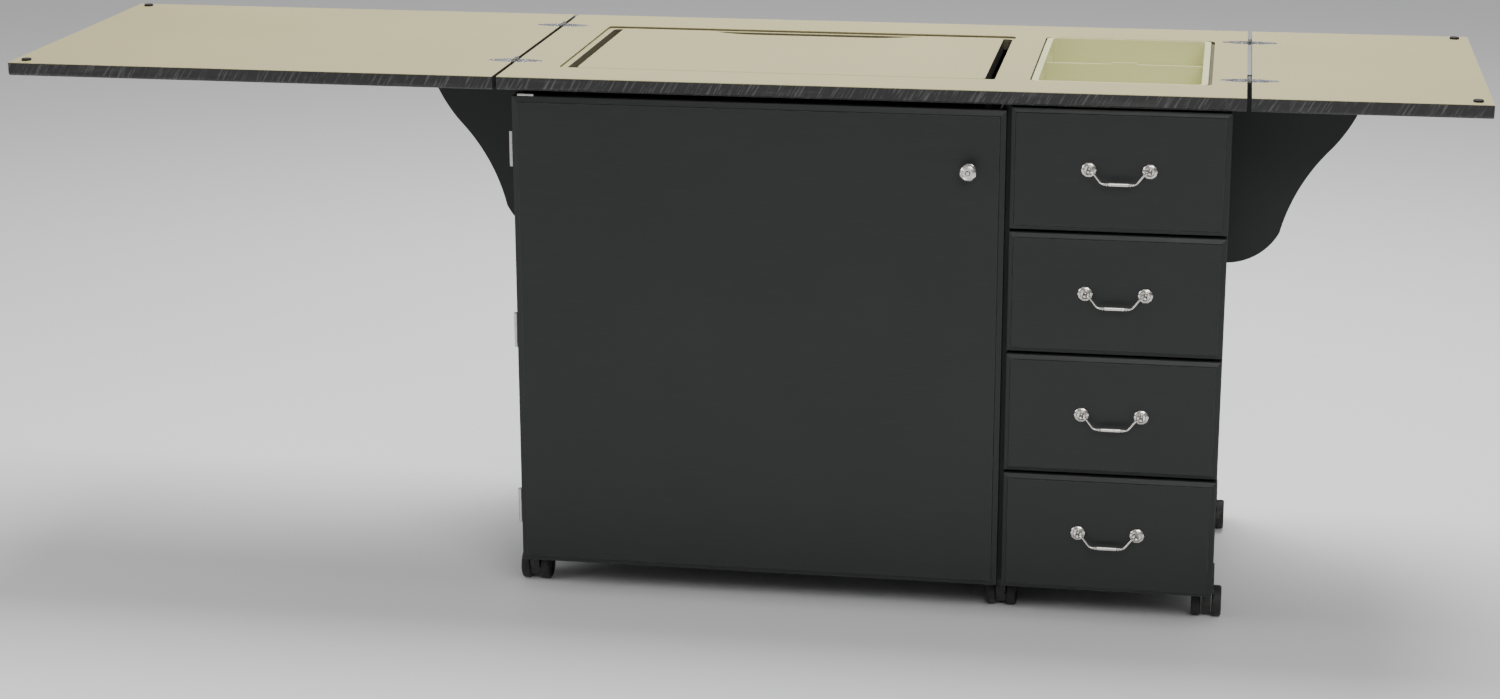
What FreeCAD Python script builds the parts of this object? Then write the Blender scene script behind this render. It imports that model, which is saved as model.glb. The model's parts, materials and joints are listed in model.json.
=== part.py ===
"""Fold-out sewing cabinet: a desk-high cupboard on six twin-wheel casters.

Its top carries a sinking platform for the machine and a lift-out tray.  Two leaves fold
over the top, each held level by a swinging wing board.  One door and four drawers close
the front.

Millimetres.  +X is to the right, +Y to the back, +Z up.  The origin is on the floor, under
the middle of the open cabinet's outline, measured from the left leaf's end to the right
leaf's end and from the knob's tip to the back edge of the top.
"""
import FreeCAD, Part
import os
import re
import Sketcher

from FreeCAD import Placement, Rotation, Vector

doc = FreeCAD.newDocument("sewing_cabinet")

# ---------------------------------------------------------------- driving dimensions

SIZES = [
    # the top and its leaves
    ("top_height", 762, "floor to the work surface"),
    ("top_depth", 524, "front to back of the top and both leaves"),
    ("centre_width", 1024, "width of the fixed middle top"),
    ("right_leaf", 314, "width of the right leaf"),
    ("fold_gap", 3, "between the leaf ends when both are folded over"),
    ("top_thickness", 19, "thickness of the top and leaves"),
    ("edge_chamfer", 3, "chamfer along the lower edges of the top"),
    ("seam_gap", 6.5, "between the top and an open leaf"),
    ("fold_rise", 1.6, "leaf hinge axis above the work surface"),
    # the cupboard
    ("panel", 16, "thickness of sides, divider and bottom"),
    ("side_overhang", 17, "top beyond each side panel"),
    ("rear_overhang", 10, "top beyond the back of the sides"),
    ("back_thickness", 6, "thickness of the back panel"),
    ("column_width", 298.5, "middle of the divider to the outside of the right side"),
    # fronts
    ("front_set_back", 8, "door face behind the front edge of the top"),
    ("front_thickness", 19, "thickness of the door and drawer fronts"),
    ("front_bevel", 5, "bevel around each front"),
    ("front_inset", 1, "fronts in from the outside of the sides"),
    ("front_drop", 2, "fronts below the underside of the bottom"),
    ("front_gap", 4.5, "between two drawer fronts"),
    ("middle_gap", 6.6, "between the door and the drawer fronts"),
    ("door_top_gap", 10, "door below the underside of the top"),
    ("drawer_top_gap", 5, "top drawer front below the underside of the top"),
    ("hinge_space", 2.5, "between the back of the door and the sides"),
    # openings in the top
    ("opening_front", 82, "front edge of the top to both openings"),
    ("opening_rear", 94, "both openings to the rear edge of the top"),
    ("opening_left", 36, "machine opening in from the left side panel's inner face"),
    ("opening_right", 15, "machine opening in from the divider's left face"),
    ("ledge_left", 9, "rebate ledge along the left of the machine opening"),
    ("ledge_right", 4.5, "rebate ledge along its right"),
    ("ledge_rear", 8, "rebate ledge along its rear"),
    ("ledge_depth", 3.4, "depth of that rebate"),
    ("opening_round", 8, "corner radius of the openings"),
    # lift
    ("slot_left", 17.5, "open slot left of the platform"),
    ("slot_right", 12.5, "open slot right of the platform"),
    ("platform_front_gap", 2, "platform behind the front of its opening"),
    ("platform_rear_gap", 12, "platform ahead of the rear ledge"),
    ("notch_depth", 27, "cable notch in the platform's rear edge"),
    ("notch_left", 105, "from the platform's left edge to the notch"),
    ("notch_right", 94, "from the notch to the platform's right edge"),
    ("notch_run", 42, "length of each sloping end of the notch"),
    ("lift_plate", 3, "thickness of the lift's steel plates"),
    ("arm_thickness", 4, "thickness of a lift arm"),
    ("arm_height", 20, "height of a lift arm"),
    ("arm_play", 3, "side gap between a lift arm and each plate"),
    ("arm_spacing", 60, "between the upper and the lower arm's pivots"),
    ("pivot_radius", 4, "radius of a lift pivot stud"),
    ("pivot_fit", 0.05, "running clearance of the upper arms' bores"),
    ("open_pivot_fit", 0.3, "clearance of the lower arms' front bores"),
    ("upper_pivot_drop", 72, "upper pivots below the work surface"),
    ("wall_pivot_inset", 38, "wall pivots ahead of the back panel"),
    ("platform_pivot_inset", 87, "platform pivots behind the platform's front edge"),
    ("torsion_radius", 6, "radius of the tube that joins the upper arms"),
    ("stud_set_back", 0.5, "pivot stud's end inside the face of its arm"),
    ("wall_plate_half", 24, "half the width of a wall plate, and its reach past the upper stud"),
    ("wall_plate_low", 20, "wall plate below the lower stud"),
    ("bracket_front", 36, "platform bracket ahead of its pivots"),
    ("bracket_rear", 64, "platform bracket behind its pivots"),
    ("bracket_inset", 2, "platform bracket in from the platform's edge"),
    ("bracket_flange", 26, "width of the bracket's flange under the platform"),
    ("bracket_rise", 16, "bracket's side plate above the upper stud"),
    ("shelf_drop", 24, "bracket's step below the lower stud"),
    # tray
    ("tray_left", 21.5, "tray opening right of the divider's middle"),
    ("tray_right", 30, "tray opening in from the outside of the right side"),
    ("tray_ledge", 7, "ledge along the left and right of the tray opening"),
    ("tray_ledge_depth", 4, "depth of that ledge"),
    ("tray_gap_left", 2.5, "gap left of the tray's rim"),
    ("tray_gap_right", 5.5, "finger gap right of the tray's rim"),
    ("tray_gap_end", 1.5, "gap before and behind the tray"),
    ("tray_rim", 6, "rim beyond the tray's left and right walls"),
    ("tray_round_extra", 1, "tray's corner radius over the opening's"),
    ("tray_rim_thickness", 3.7, "thickness of the rim"),
    ("tray_wall", 2.5, "thickness of the tray's walls"),
    ("tray_depth", 50, "work surface to the tray's underside"),
    ("tray_divider_drop", 6, "tray divider below the work surface"),
    ("tray_tab_width", 37, "width of the raised tab on that divider"),
    ("tray_tab_rise", 2.5, "tab above the divider"),
    # leaf hinges and bumpers
    ("leaf_hinge_front", 125, "front edge of the top to the front hinges"),
    ("leaf_hinge_rear", 98, "rear hinges to the rear edge of the top"),
    ("wing_length", 36, "reach of a hinge wing from the seam"),
    ("wing_width", 25, "width of a hinge wing at the seam"),
    ("wing_tip", 9, "width of a hinge wing at its tip"),
    ("wing_thickness", 2, "thickness of a hinge wing"),
    ("leaf_knuckle_radius", 2.8, "radius of a leaf hinge knuckle"),
    ("leaf_knuckle_half", 3.8, "half the length of the leaf's knuckle"),
    ("leaf_knuckle_end", 11, "seam hinge centre to the end of its barrel"),
    ("leaf_pin_radius", 1.2, "radius of a leaf hinge pin"),
    ("knuckle_play", 0.2, "end play between two knuckles"),
    ("bumper_radius", 7, "radius of a rubber bumper"),
    ("bumper_height", 3, "height of a rubber bumper"),
    ("bumper_inset", 20, "bumper centre in from the leaf's edges"),
    # wing boards under the leaves
    ("support_setback", 262, "front edge of the top to the face of a wing board"),
    ("support_thickness", 16, "thickness of a wing board"),
    ("support_reach", 190, "reach of a wing board"),
    ("support_height", 272, "height of a wing board"),
    ("support_clear", 1, "wing board clear of the side and of the leaf"),
    ("ogee_foot", 0.38, "share of the reach at the end of the outline's round foot"),
    ("ogee_foot_rise", 0.173, "share of the height there"),
    ("ogee_waist", 0.74, "share of the reach at the outline's turning point"),
    ("ogee_waist_rise", 0.635, "share of the height there"),
    ("foot_round", 0.45, "radius of the foot as a share of the reach"),
    ("hollow_round", 1.44, "radius of the hollow as a share of the reach"),
    ("shoulder_round", 1.18, "radius of the shoulder as a share of the reach"),
    # butt hinges
    ("butt_height", 50, "height of a butt hinge"),
    ("butt_leaf", 19, "width of a butt hinge leaf"),
    ("butt_thickness", 1.2, "thickness of a butt hinge leaf"),
    ("butt_radius", 3.5, "radius of a butt hinge knuckle"),
    ("butt_pin_radius", 1.5, "radius of a butt hinge pin"),
    ("pin_fit", 0.05, "running clearance of a hinge pin"),
    ("knuckle_clear", 0.4, "between a butt hinge's knuckle and the other leaf's plate"),
    ("door_knuckle_clear", 0.5, "door hinge's knuckle clear of the side panel"),
    ("support_knuckle_clear", 1, "support hinge's knuckle clear of the side panel"),
    ("support_knuckle_back", 0.3, "support hinge's knuckle clear of the wing board"),
    ("hinge_end_inset", 78, "middle of an end hinge in from the door's or board's end"),
    ("support_hinge_inset", 52, "middle of a support hinge in from the board's end"),
    # knob, catch and handles
    ("knob_reach", 24, "knob's tip out from the door"),
    ("knob_radius", 12.2, "radius of the knob's head"),
    ("knob_base", 3, "thickness of the knob's base"),
    ("knob_neck", 8, "length of the knob's neck"),
    ("knob_head", 9, "thickness of the knob's head"),
    ("knob_edge", 49, "knob in from the door's free edge"),
    ("knob_drop", 83, "knob below the door's top"),
    ("catch_width", 18, "width of the magnetic catch"),
    ("catch_length", 34, "front to back of the catch"),
    ("catch_half", 12, "half the height of the catch"),
    ("catch_plate", 1.5, "thickness of the catch's steel plate"),
    ("catch_plate_inset", 2, "catch plate clear of the divider"),
    ("handle_spacing", 82, "between the posts of a drawer handle"),
    ("rosette_radius", 10.4, "radius of a handle rosette"),
    ("rosette_thickness", 4, "thickness of a handle rosette"),
    ("post_radius", 3.3, "radius of a handle post"),
    ("post_reach", 18, "handle post's tip out from the drawer front"),
    ("bail_axis_out", 13, "bail pivot out from the drawer front"),
    ("bail_radius", 1.5, "radius of the bail's wire"),
    ("bail_fit", 0.05, "running clearance of the wire in its post"),
    ("bail_drop", 16.5, "grip below the bail's pivot"),
    ("bail_straight", 6.8, "middle of the post to the bail's first bend"),
    ("bail_end", 0.3, "wire's end short of the middle of the post"),
    ("bail_knee", 8.5, "grip's end to the bail's second bend"),
    ("grip_radius", 3, "radius of the grip"),
    ("grip_half", 14.5, "half the length of the grip"),
    ("handle_drop", 82, "handle pivot below the drawer front's top"),
    # drawers
    ("drawer_side_gap", 3, "between a drawer box and the cupboard's panels"),
    ("box_board", 12, "thickness of a drawer box board"),
    ("box_bottom", 4, "thickness of a drawer box bottom"),
    ("box_tray_gap", 18.5, "between the tray and the top drawer's box"),
    ("box_back_gap", 41, "between a drawer box and the back panel"),
    ("box_floor_gap", 3, "lowest drawer's box above the cupboard's bottom"),
    ("runner_height", 11, "height of a drawer runner strip"),
    ("runner_depth", 9.5, "thickness of a drawer runner strip"),
    ("runner_end", 48.5, "runner strip short of the back panel"),
    ("groove_height", 12, "height of the groove in a drawer side"),
    ("groove_depth", 7.5, "depth of that groove"),
    ("groove_rise", 50, "groove above the bottom of the drawer box"),
    ("groove_start", 20, "groove behind the drawer front"),
    ("runner_start", 30, "runner strip behind the cupboard's front edge"),
    ("bottom_rise", 6, "drawer's bottom board above the box's lower edge"),
    # casters
    ("caster_plate", 3, "thickness of a caster plate"),
    ("caster_plate_size", 60, "side of a caster plate"),
    ("caster_side_inset", 8, "outer swivels in from the outside of the sides"),
    ("caster_front_inset", 60, "front swivels behind the front edge of the top"),
    ("caster_rear_inset", 87, "rear swivels ahead of the rear edge of the top"),
    ("caster_trail", 16, "wheel axle behind the swivel"),
    ("wheel_radius", 22, "radius of a caster wheel"),
    ("wheel_room", 5, "between a wheel and the plate above it"),
    ("wheel_width", 14, "width of one of the two wheels"),
    ("hub_width", 14, "width of the caster's body between the wheels"),
    ("hub_radius", 18, "radius of the caster's body"),
    ("wheel_play", 0.5, "side gap between wheel and body"),
    ("axle_radius", 3, "radius of the wheel axle"),
    ("stem_radius", 5, "radius of the swivel stem"),
    ("stem_reach", 0.8, "swivel stem into the plate, short of its top"),
    ("boss_clear", 1, "caster's boss below its plate"),
    ("tab_height", 24, "height of the plate's tab on the side panel"),
    ("tab_thickness", 2, "thickness of that tab"),
]

sheet = doc.addObject("Spreadsheet::Sheet", "Sizes")
for row, (alias, number, meaning) in enumerate(SIZES, start=1):
    sheet.set("A%d" % row, meaning)
    sheet.set("B%d" % row, str(number))
    sheet.setAlias("B%d" % row, alias)
doc.recompute()

# ---------------------------------------------------------------- derived places

places = doc.addObject("App::VarSet", "Places")
aliases = {alias: "Sizes." + alias for alias, number, meaning in SIZES}


def formula(text):
    """The text with each named size or place written as FreeCAD's expressions want it."""
    return re.sub(r"[a-z][a-z0-9_]*", lambda word: aliases.get(word.group(), word.group()), str(text))


def derive(name, text):
    """Adds one place, worked out from the sheet and the places before it."""
    places.addProperty("App::PropertyFloat", name)
    places.setExpression(name, formula(text))
    aliases[name] = "Places." + name


derive("base_height", "2 * wheel_radius + wheel_room + caster_plate")
derive("left_leaf", "centre_width - fold_gap - right_leaf")
derive("cabinet_x", "(left_leaf - right_leaf) / 2")
derive("top_front", "(knob_reach - front_set_back - top_depth) / 2")
derive("top_back", "top_front + top_depth")
derive("under_top", "top_height - top_thickness")
derive("top_left", "cabinet_x - centre_width / 2")
derive("top_right", "cabinet_x + centre_width / 2")
derive("left_seam", "top_left - seam_gap / 2")
derive("right_seam", "top_right + seam_gap / 2")
derive("fold_axis_z", "top_height + fold_rise")
derive("left_leaf_end", "top_left - seam_gap - left_leaf")
derive("right_leaf_start", "top_right + seam_gap")
derive("right_leaf_end", "right_leaf_start + right_leaf")
derive("side_left", "top_left + side_overhang")
derive("side_right", "top_right - side_overhang")
derive("bay_left", "side_left + panel")
derive("column_right", "side_right - panel")
derive("divider_x", "side_right - column_width")
derive("bay_right", "divider_x - panel / 2")
derive("column_left", "divider_x + panel / 2")
derive("front_face", "top_front + front_set_back")
derive("front_rear", "front_face + front_thickness")
derive("carcass_front", "front_rear + hinge_space")
derive("carcass_rear", "top_back - rear_overhang")
derive("back_face", "carcass_rear - back_thickness")
derive("bottom_top", "base_height + panel")
derive("front_low", "base_height - front_drop")
derive("door_left", "side_left + front_inset")
derive("door_right", "divider_x - middle_gap / 2")
derive("door_top", "under_top - door_top_gap")
derive("drawer_left", "divider_x + middle_gap / 2")
derive("drawer_right", "side_right - front_inset")
derive("drawer_top", "under_top - drawer_top_gap")
derive("drawer_front_height", "(drawer_top - front_low - 3 * front_gap) / 4")
derive("drawer_pitch", "drawer_front_height + front_gap")
derive("hole_front", "top_front + opening_front")
derive("hole_rear", "top_back - opening_rear")
derive("hole_left", "bay_left + opening_left")
derive("hole_right", "bay_right - opening_right")
derive("platform_left", "hole_left + ledge_left + slot_left")
derive("platform_right", "hole_right - ledge_right - slot_right")
derive("platform_front", "hole_front + platform_front_gap")
derive("platform_rear", "hole_rear - ledge_rear - platform_rear_gap")
derive("upper_pivot_z", "top_height - upper_pivot_drop")
derive("lower_pivot_z", "upper_pivot_z - arm_spacing")
derive("wall_pivot_y", "back_face - wall_pivot_inset")
derive("platform_pivot_y", "platform_front + platform_pivot_inset")
derive("arm_length", "wall_pivot_y - platform_pivot_y")
derive("tray_hole_left", "divider_x + tray_left")
derive("tray_hole_right", "side_right - tray_right")
derive("rim_left", "tray_hole_left + tray_gap_left")
derive("rim_right", "tray_hole_right - tray_gap_right")
derive("rim_front", "hole_front + tray_gap_end")
derive("rim_rear", "hole_rear - tray_gap_end")
derive("rim_low", "top_height - tray_ledge_depth")
derive("hinge_front_y", "top_front + leaf_hinge_front")
derive("hinge_rear_y", "top_back - leaf_hinge_rear")
derive("support_face", "top_front + support_setback")
derive("support_top", "under_top - support_clear")
derive("support_low", "support_top - support_height")
derive("support_axis_out", "butt_radius + support_knuckle_clear")
derive("support_axis_back", "butt_radius + support_knuckle_back")
derive("support_axis_y", "support_face + support_thickness + support_axis_back")
derive("left_support_axis_x", "side_left - support_axis_out")
derive("right_support_axis_x", "side_right + support_axis_out")
derive("door_axis_x", "side_left - butt_radius - door_knuckle_clear")
derive("door_axis_y", "front_rear + hinge_space / 2")
derive("knob_x", "door_right - knob_edge")
derive("knob_z", "door_top - knob_drop")
derive("handle_x", "(drawer_left + drawer_right) / 2")
derive("bail_axis_y", "front_face - bail_axis_out")
derive("box_left", "column_left + drawer_side_gap")
derive("box_right", "column_right - drawer_side_gap")
derive("box_lift", "bottom_top + box_floor_gap - front_low")
derive("box_depth", "back_face - front_rear - box_back_gap")
derive("box_height", "top_height - tray_depth - box_tray_gap - front_low - 3 * drawer_pitch - box_lift")
derive("plate_low", "base_height - caster_plate")
doc.recompute()


places.addProperty("App::PropertyFloat", "measured")


def size(text):
    """The number that a formula gives now."""
    places.setExpression("measured", formula(text))
    places.recompute()
    return places.measured


# ---------------------------------------------------------------- ways to make a piece

NODES = []
AXES = {
    "x": Rotation(Vector(0, 1, 0), 90),
    "y": Rotation(Vector(1, 0, 0), -90),
    "z": Rotation(),
}


def place(piece, x, y, z):
    """Ties a piece's position to formulas."""
    for axis, text in zip("xyz", (x, y, z)):
        piece.setExpression("Placement.Base." + axis, formula(text))
    return piece


def block(low, high):
    """A box between two corners, each corner three formulas."""
    piece = doc.addObject("Part::Box", "Block")
    for side, start, end in zip(("Length", "Width", "Height"), low, high):
        piece.setExpression(side, formula("(%s) - (%s)" % (end, start)))
    return place(piece, *low)


def rod(axis, start, length, radius):
    """A cylinder along one axis, from the middle of its first end."""
    piece = doc.addObject("Part::Cylinder", "Rod")
    piece.Placement = Placement(Vector(), AXES[axis])
    piece.setExpression("Radius", formula(radius))
    piece.setExpression("Height", formula(length))
    return place(piece, *start)


def fuse(pieces):
    """Pieces that are one solid."""
    piece = doc.addObject("Part::MultiFuse", "Joined")
    piece.Shapes = pieces
    return piece


def cut(base, tools):
    """A piece with others taken out of it."""
    piece = doc.addObject("Part::Cut", "Cut")
    piece.Base = base
    piece.Tool = fuse(tools) if len(tools) > 1 else tools[0]
    return piece


def chamfer(base, amount, wanted):
    """A piece with a chamfer on each edge whose bounding box is wanted."""
    doc.recompute()
    piece = doc.addObject("Part::Chamfer", "Chamfered")
    piece.Base = base
    edges = enumerate(base.Shape.Edges, start=1)
    piece.Edges = [(number, size(amount), size(amount)) for number, edge in edges if wanted(edge.BoundBox)]
    return piece


def rounded(base, amount, wanted):
    """A piece with a fillet on each edge whose bounding box is wanted."""
    doc.recompute()
    piece = doc.addObject("Part::Fillet", "Rounded")
    piece.Base = base
    edges = enumerate(base.Shape.Edges, start=1)
    piece.Edges = [(number, size(amount), size(amount)) for number, edge in edges if wanted(edge.BoundBox)]
    return piece


def shape_piece(shape):
    """A piece whose shape is made with Part's own functions from the sheet's sizes."""
    piece = doc.addObject("Part::Feature", "Shaped")
    piece.Shape = shape
    return piece


def outline_edge(start, end, radius, side):
    """The edge from one corner to the next: a line, or an arc bulging to one side (-1 right)."""
    if not radius:
        return Part.LineSegment(start, end)
    run = end - start
    rise = radius - (radius ** 2 - (run.Length / 2) ** 2) ** 0.5
    across = Vector(-run.y, run.x, 0) * (side * rise / run.Length)
    return Part.Arc(start, start + run * 0.5 + across, end)


def outline_body(plane, points, thickness, offset, rounds=None):
    """A body padded from one closed sketch; each sketch point is two formulas.

    rounds gives the radius and side of the edges that are arcs, by their first point.
    """
    rounds = rounds or {}
    body = doc.addObject("PartDesign::Body", "Padded")
    sketch = body.newObject("Sketcher::SketchObject", "Outline")
    base = next(item for item in body.Origin.OriginFeatures if item.Role == plane)
    sketch.AttachmentSupport = [(base, "")]
    sketch.MapMode = "FlatFace"
    corners = [Vector(size(across), size(up), 0) for across, up in points]
    count = len(corners)
    starts, ends = [], []
    for index in range(count):
        radius, side = rounds.get(index, ("0", 1))
        following = corners[(index + 1) % count]
        sketch.addGeometry(outline_edge(corners[index], following, size(radius), side))
        turned = (sketch.getPoint(index, 1) - corners[index]).Length > 0.001
        starts.append(2 if turned else 1)
        ends.append(1 if turned else 2)
    for index in range(count):
        following = (index + 1) % count
        joint = (index, ends[index], following, starts[following])
        sketch.addConstraint(Sketcher.Constraint("Coincident", *joint))
    for index, (radius, side) in rounds.items():
        number = sketch.addConstraint(Sketcher.Constraint("Radius", index, size(radius)))
        sketch.setExpression("Constraints[%d]" % number, formula(radius))
    for index, point in enumerate(points):
        for kind, text, now in zip(("DistanceX", "DistanceY"), point, corners[index]):
            number = sketch.addConstraint(Sketcher.Constraint(kind, -1, 1, index, starts[index], now))
            sketch.setExpression("Constraints[%d]" % number, formula(text))
    pad = body.newObject("PartDesign::Pad", "Pad")
    pad.Profile = sketch
    pad.setExpression("Length", formula(thickness))
    body.Tip = pad
    place(body, *offset)
    return body


def node(label, pieces):
    """Names a sub-part: one piece, or a group of like pieces."""
    if len(pieces) == 1:
        piece = pieces[0]
    else:
        piece = doc.addObject("Part::Compound", "Group")
        piece.Links = pieces
    piece.Label = label
    NODES.append(piece)
    return piece


def bounds_match(**wanted):
    """A test for an edge: the named sides of its bounding box lie at the given places."""
    def test(box):
        return all(abs(getattr(box, side) - place) < 0.01 for side, place in wanted.items())
    return test


def any_of(*tests):
    """A test that passes when one of several does."""
    return lambda box: any(test(box) for test in tests)


# ---------------------------------------------------------------- cupboard panels


def panels():
    """The two sides, the divider, the bottom and the back, screwed together."""
    front, rear = "carcass_front", "carcass_rear"
    sides = (
        ("left_side_panel", "side_left", "bay_left", rear, "base_height"),
        ("right_side_panel", "column_right", "side_right", rear, "base_height"),
        ("divider_panel", "bay_right", "column_left", "back_face", "bottom_top"),
    )
    for label, left, right, back, low in sides:
        node(label, [block((left, front, low), (right, back, "under_top"))])
    node("bottom_panel", [
        block(("bay_left", front, "base_height"), ("column_right", "back_face", "bottom_top")),
    ])
    node("back_panel", [
        block(("bay_left", "back_face", "base_height"), ("column_right", rear, "under_top")),
    ])


# ---------------------------------------------------------------- leaf hinges


def wing_points():
    """Half butterfly: wide at the seam, drawn in to a small flat tip."""
    middle = "wing_width / 2"
    return [
        ("0", "0"),
        ("wing_length * 0.3", "0"),
        ("wing_length * 0.8", middle + " - wing_tip * 0.8"),
        ("wing_length", middle + " - wing_tip / 2"),
        ("wing_length", middle + " + wing_tip / 2"),
        ("wing_length * 0.8", middle + " + wing_tip * 0.8"),
        ("wing_length * 0.3", "wing_width"),
        ("0", "wing_width"),
    ]


def wing(seam, y, side):
    """One hinge wing let into the board on one side (-1 left, +1 right) of a seam."""
    low_z = "top_height - wing_thickness"
    body = outline_body(
        "XY_Plane",
        wing_points(),
        "wing_thickness",
        ("%s + %d * seam_gap / 2" % (seam, side), "%s + %d * wing_width / 2" % (y, -side), low_z),
    )
    if side < 0:
        body.Placement.Rotation = Rotation(Vector(0, 0, 1), 180)
    return body


def strap(seam, y_low, y_high, side):
    """The tongue from a wing to its knuckle."""
    ends = sorted((seam, "%s + %d * (seam_gap / 2 + 1)" % (seam, side)), key=size)
    return block(
        (ends[0], y_low, "top_height - wing_thickness / 2"),
        (ends[1], y_high, "top_height"),
    )


def knuckle(seam, y_low, y_high):
    """One knuckle of a leaf hinge, its lower side meeting the strap."""
    return rod("y", (seam, y_low, "fold_axis_z"), "(%s) - (%s)" % (y_high, y_low), "leaf_knuckle_radius")


def fixed_leaf_hinge(seam, y, side):
    """The half on the middle top: a wing, two knuckles and the pin."""
    pieces = [wing(seam, y, side)]
    for low, high in (("-leaf_knuckle_end", "-leaf_knuckle_half - knuckle_play"),
                      ("leaf_knuckle_half + knuckle_play", "leaf_knuckle_end")):
        y_low, y_high = "%s + (%s)" % (y, low), "%s + (%s)" % (y, high)
        pieces += [strap(seam, y_low, y_high, side), knuckle(seam, y_low, y_high)]
    pieces.append(rod("y", (seam, y + " - leaf_knuckle_end", "fold_axis_z"), "2 * leaf_knuckle_end",
                      "leaf_pin_radius"))
    return fuse(pieces)


def moving_leaf_hinge(seam, y, side):
    """The half on the leaf: a wing and the middle knuckle, bored for the pin."""
    y_low, y_high = y + " - leaf_knuckle_half", y + " + leaf_knuckle_half"
    solid = fuse([wing(seam, y, side), strap(seam, y_low, y_high, side), knuckle(seam, y_low, y_high)])
    bore = rod("y", (seam, y + " - leaf_knuckle_end", "fold_axis_z"), "2 * leaf_knuckle_end",
               "leaf_pin_radius + pin_fit")
    return cut(solid, [bore])


# ---------------------------------------------------------------- top and leaves


def board(left, right, hinges):
    """A top board: lower edges chamfered, hinge wings let in flush."""
    blank = block((left, "top_front", "under_top"), (right, "top_back", "top_height"))
    low, front, rear = size("under_top"), size("top_front"), size("top_back")
    edges = any_of(
        bounds_match(ZMax=low, YMax=front),
        bounds_match(ZMax=low, YMin=rear),
    )
    return cut(chamfer(blank, "edge_chamfer", edges), hinges)


def opening(left, right, front, rear, low):
    """The tool for a rounded opening through the top down to a level."""
    blank = block((left, front, low), (right, rear, "top_height + 1"))
    tall = size("top_height + 1 - (%s)" % low)
    return rounded(blank, "opening_round", lambda box: abs(box.ZLength - tall) < 0.01)


def top_and_leaves():
    """The fixed top with its two stepped openings, and the two leaves."""
    seams = (("left_seam", 1), ("right_seam", -1))
    rows = ("hinge_front_y", "hinge_rear_y")
    fixed = node("leaf_hinge_fixed_plates", [
        fixed_leaf_hinge(seam, y, side) for seam, side in seams for y in rows
    ])
    step = "top_height - ledge_depth"
    tray_step = "top_height - tray_ledge_depth"
    tools = [
        fixed,
        opening("hole_left", "hole_right", "hole_front", "hole_rear", step),
        opening("hole_left + ledge_left", "hole_right - ledge_right", "hole_front",
                "hole_rear - ledge_rear", "under_top - 1"),
        opening("tray_hole_left", "tray_hole_right", "hole_front", "hole_rear", tray_step),
        opening("tray_hole_left + tray_ledge", "tray_hole_right - tray_ledge",
                "hole_front", "hole_rear", "under_top - 1"),
    ]
    node("top_panel", [board("top_left", "top_right", tools)])

    leaves = (
        ("left_leaf", "left_leaf_end", "top_left - seam_gap", "left_seam", -1),
        ("right_leaf", "right_leaf_start", "right_leaf_end", "right_seam", 1),
    )
    for name, left, right, seam, side in leaves:
        plates = node(name + "_hinge_plates", [moving_leaf_hinge(seam, y, side) for y in rows])
        node(name + "_panel", [board(left, right, [plates])])
        outer = left + " + bumper_inset" if side < 0 else right + " - bumper_inset"
        corners = ("top_front + bumper_inset", "top_back - bumper_inset")
        bumpers = [rod("z", (outer, y, "top_height"), "bumper_height", "bumper_radius") for y in corners]
        node(name + "_bumpers", bumpers)


# ---------------------------------------------------------------- butt hinges


def butt_knuckle(x, y, low, high):
    """One knuckle of an upright butt hinge."""
    return rod("z", (x, y, low), "(%s) - (%s)" % (high, low), "butt_radius")


def fixed_butt_leaf(x, y, middle, plate, tongue):
    """The cupboard's half of a butt hinge: plate, end knuckles and pin.

    plate and tongue are corner pairs in X and Y; the tongue joins each knuckle to the plate.
    """
    third = "(butt_height / 6)"
    low, high = middle + " - butt_height / 2", middle + " + butt_height / 2"
    pieces = [block(plate[0] + (low,), plate[1] + (high,))]
    for start, end in ((low, "%s - %s - knuckle_play" % (middle, third)),
                       ("%s + %s + knuckle_play" % (middle, third), high)):
        pieces += [butt_knuckle(x, y, start, end), block(tongue[0] + (start,), tongue[1] + (end,))]
    pieces.append(rod("z", (x, y, low), "butt_height", "butt_pin_radius"))
    return fuse(pieces)


def moving_butt_leaf(x, y, middle, plate, tongue):
    """The moving half of a butt hinge: plate and bored middle knuckle."""
    third = "(butt_height / 6)"
    low, high = middle + " - butt_height / 2", middle + " + butt_height / 2"
    start, end = "%s - %s" % (middle, third), "%s + %s" % (middle, third)
    solid = fuse([
        block(plate[0] + (low,), plate[1] + (high,)),
        butt_knuckle(x, y, start, end),
        block(tongue[0] + (start,), tongue[1] + (end,)),
    ])
    return cut(solid, [rod("z", (x, y, low), "butt_height", "butt_pin_radius + pin_fit")])


def door_hinge_heights():
    """Middles of the door's three hinges."""
    return (
        "front_low + hinge_end_inset",
        "(front_low + door_top) / 2",
        "door_top - hinge_end_inset",
    )


def support_hinge_heights():
    """Middles of a wing board's two hinges."""
    return ("support_low + support_hinge_inset", "support_top - support_hinge_inset")


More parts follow.
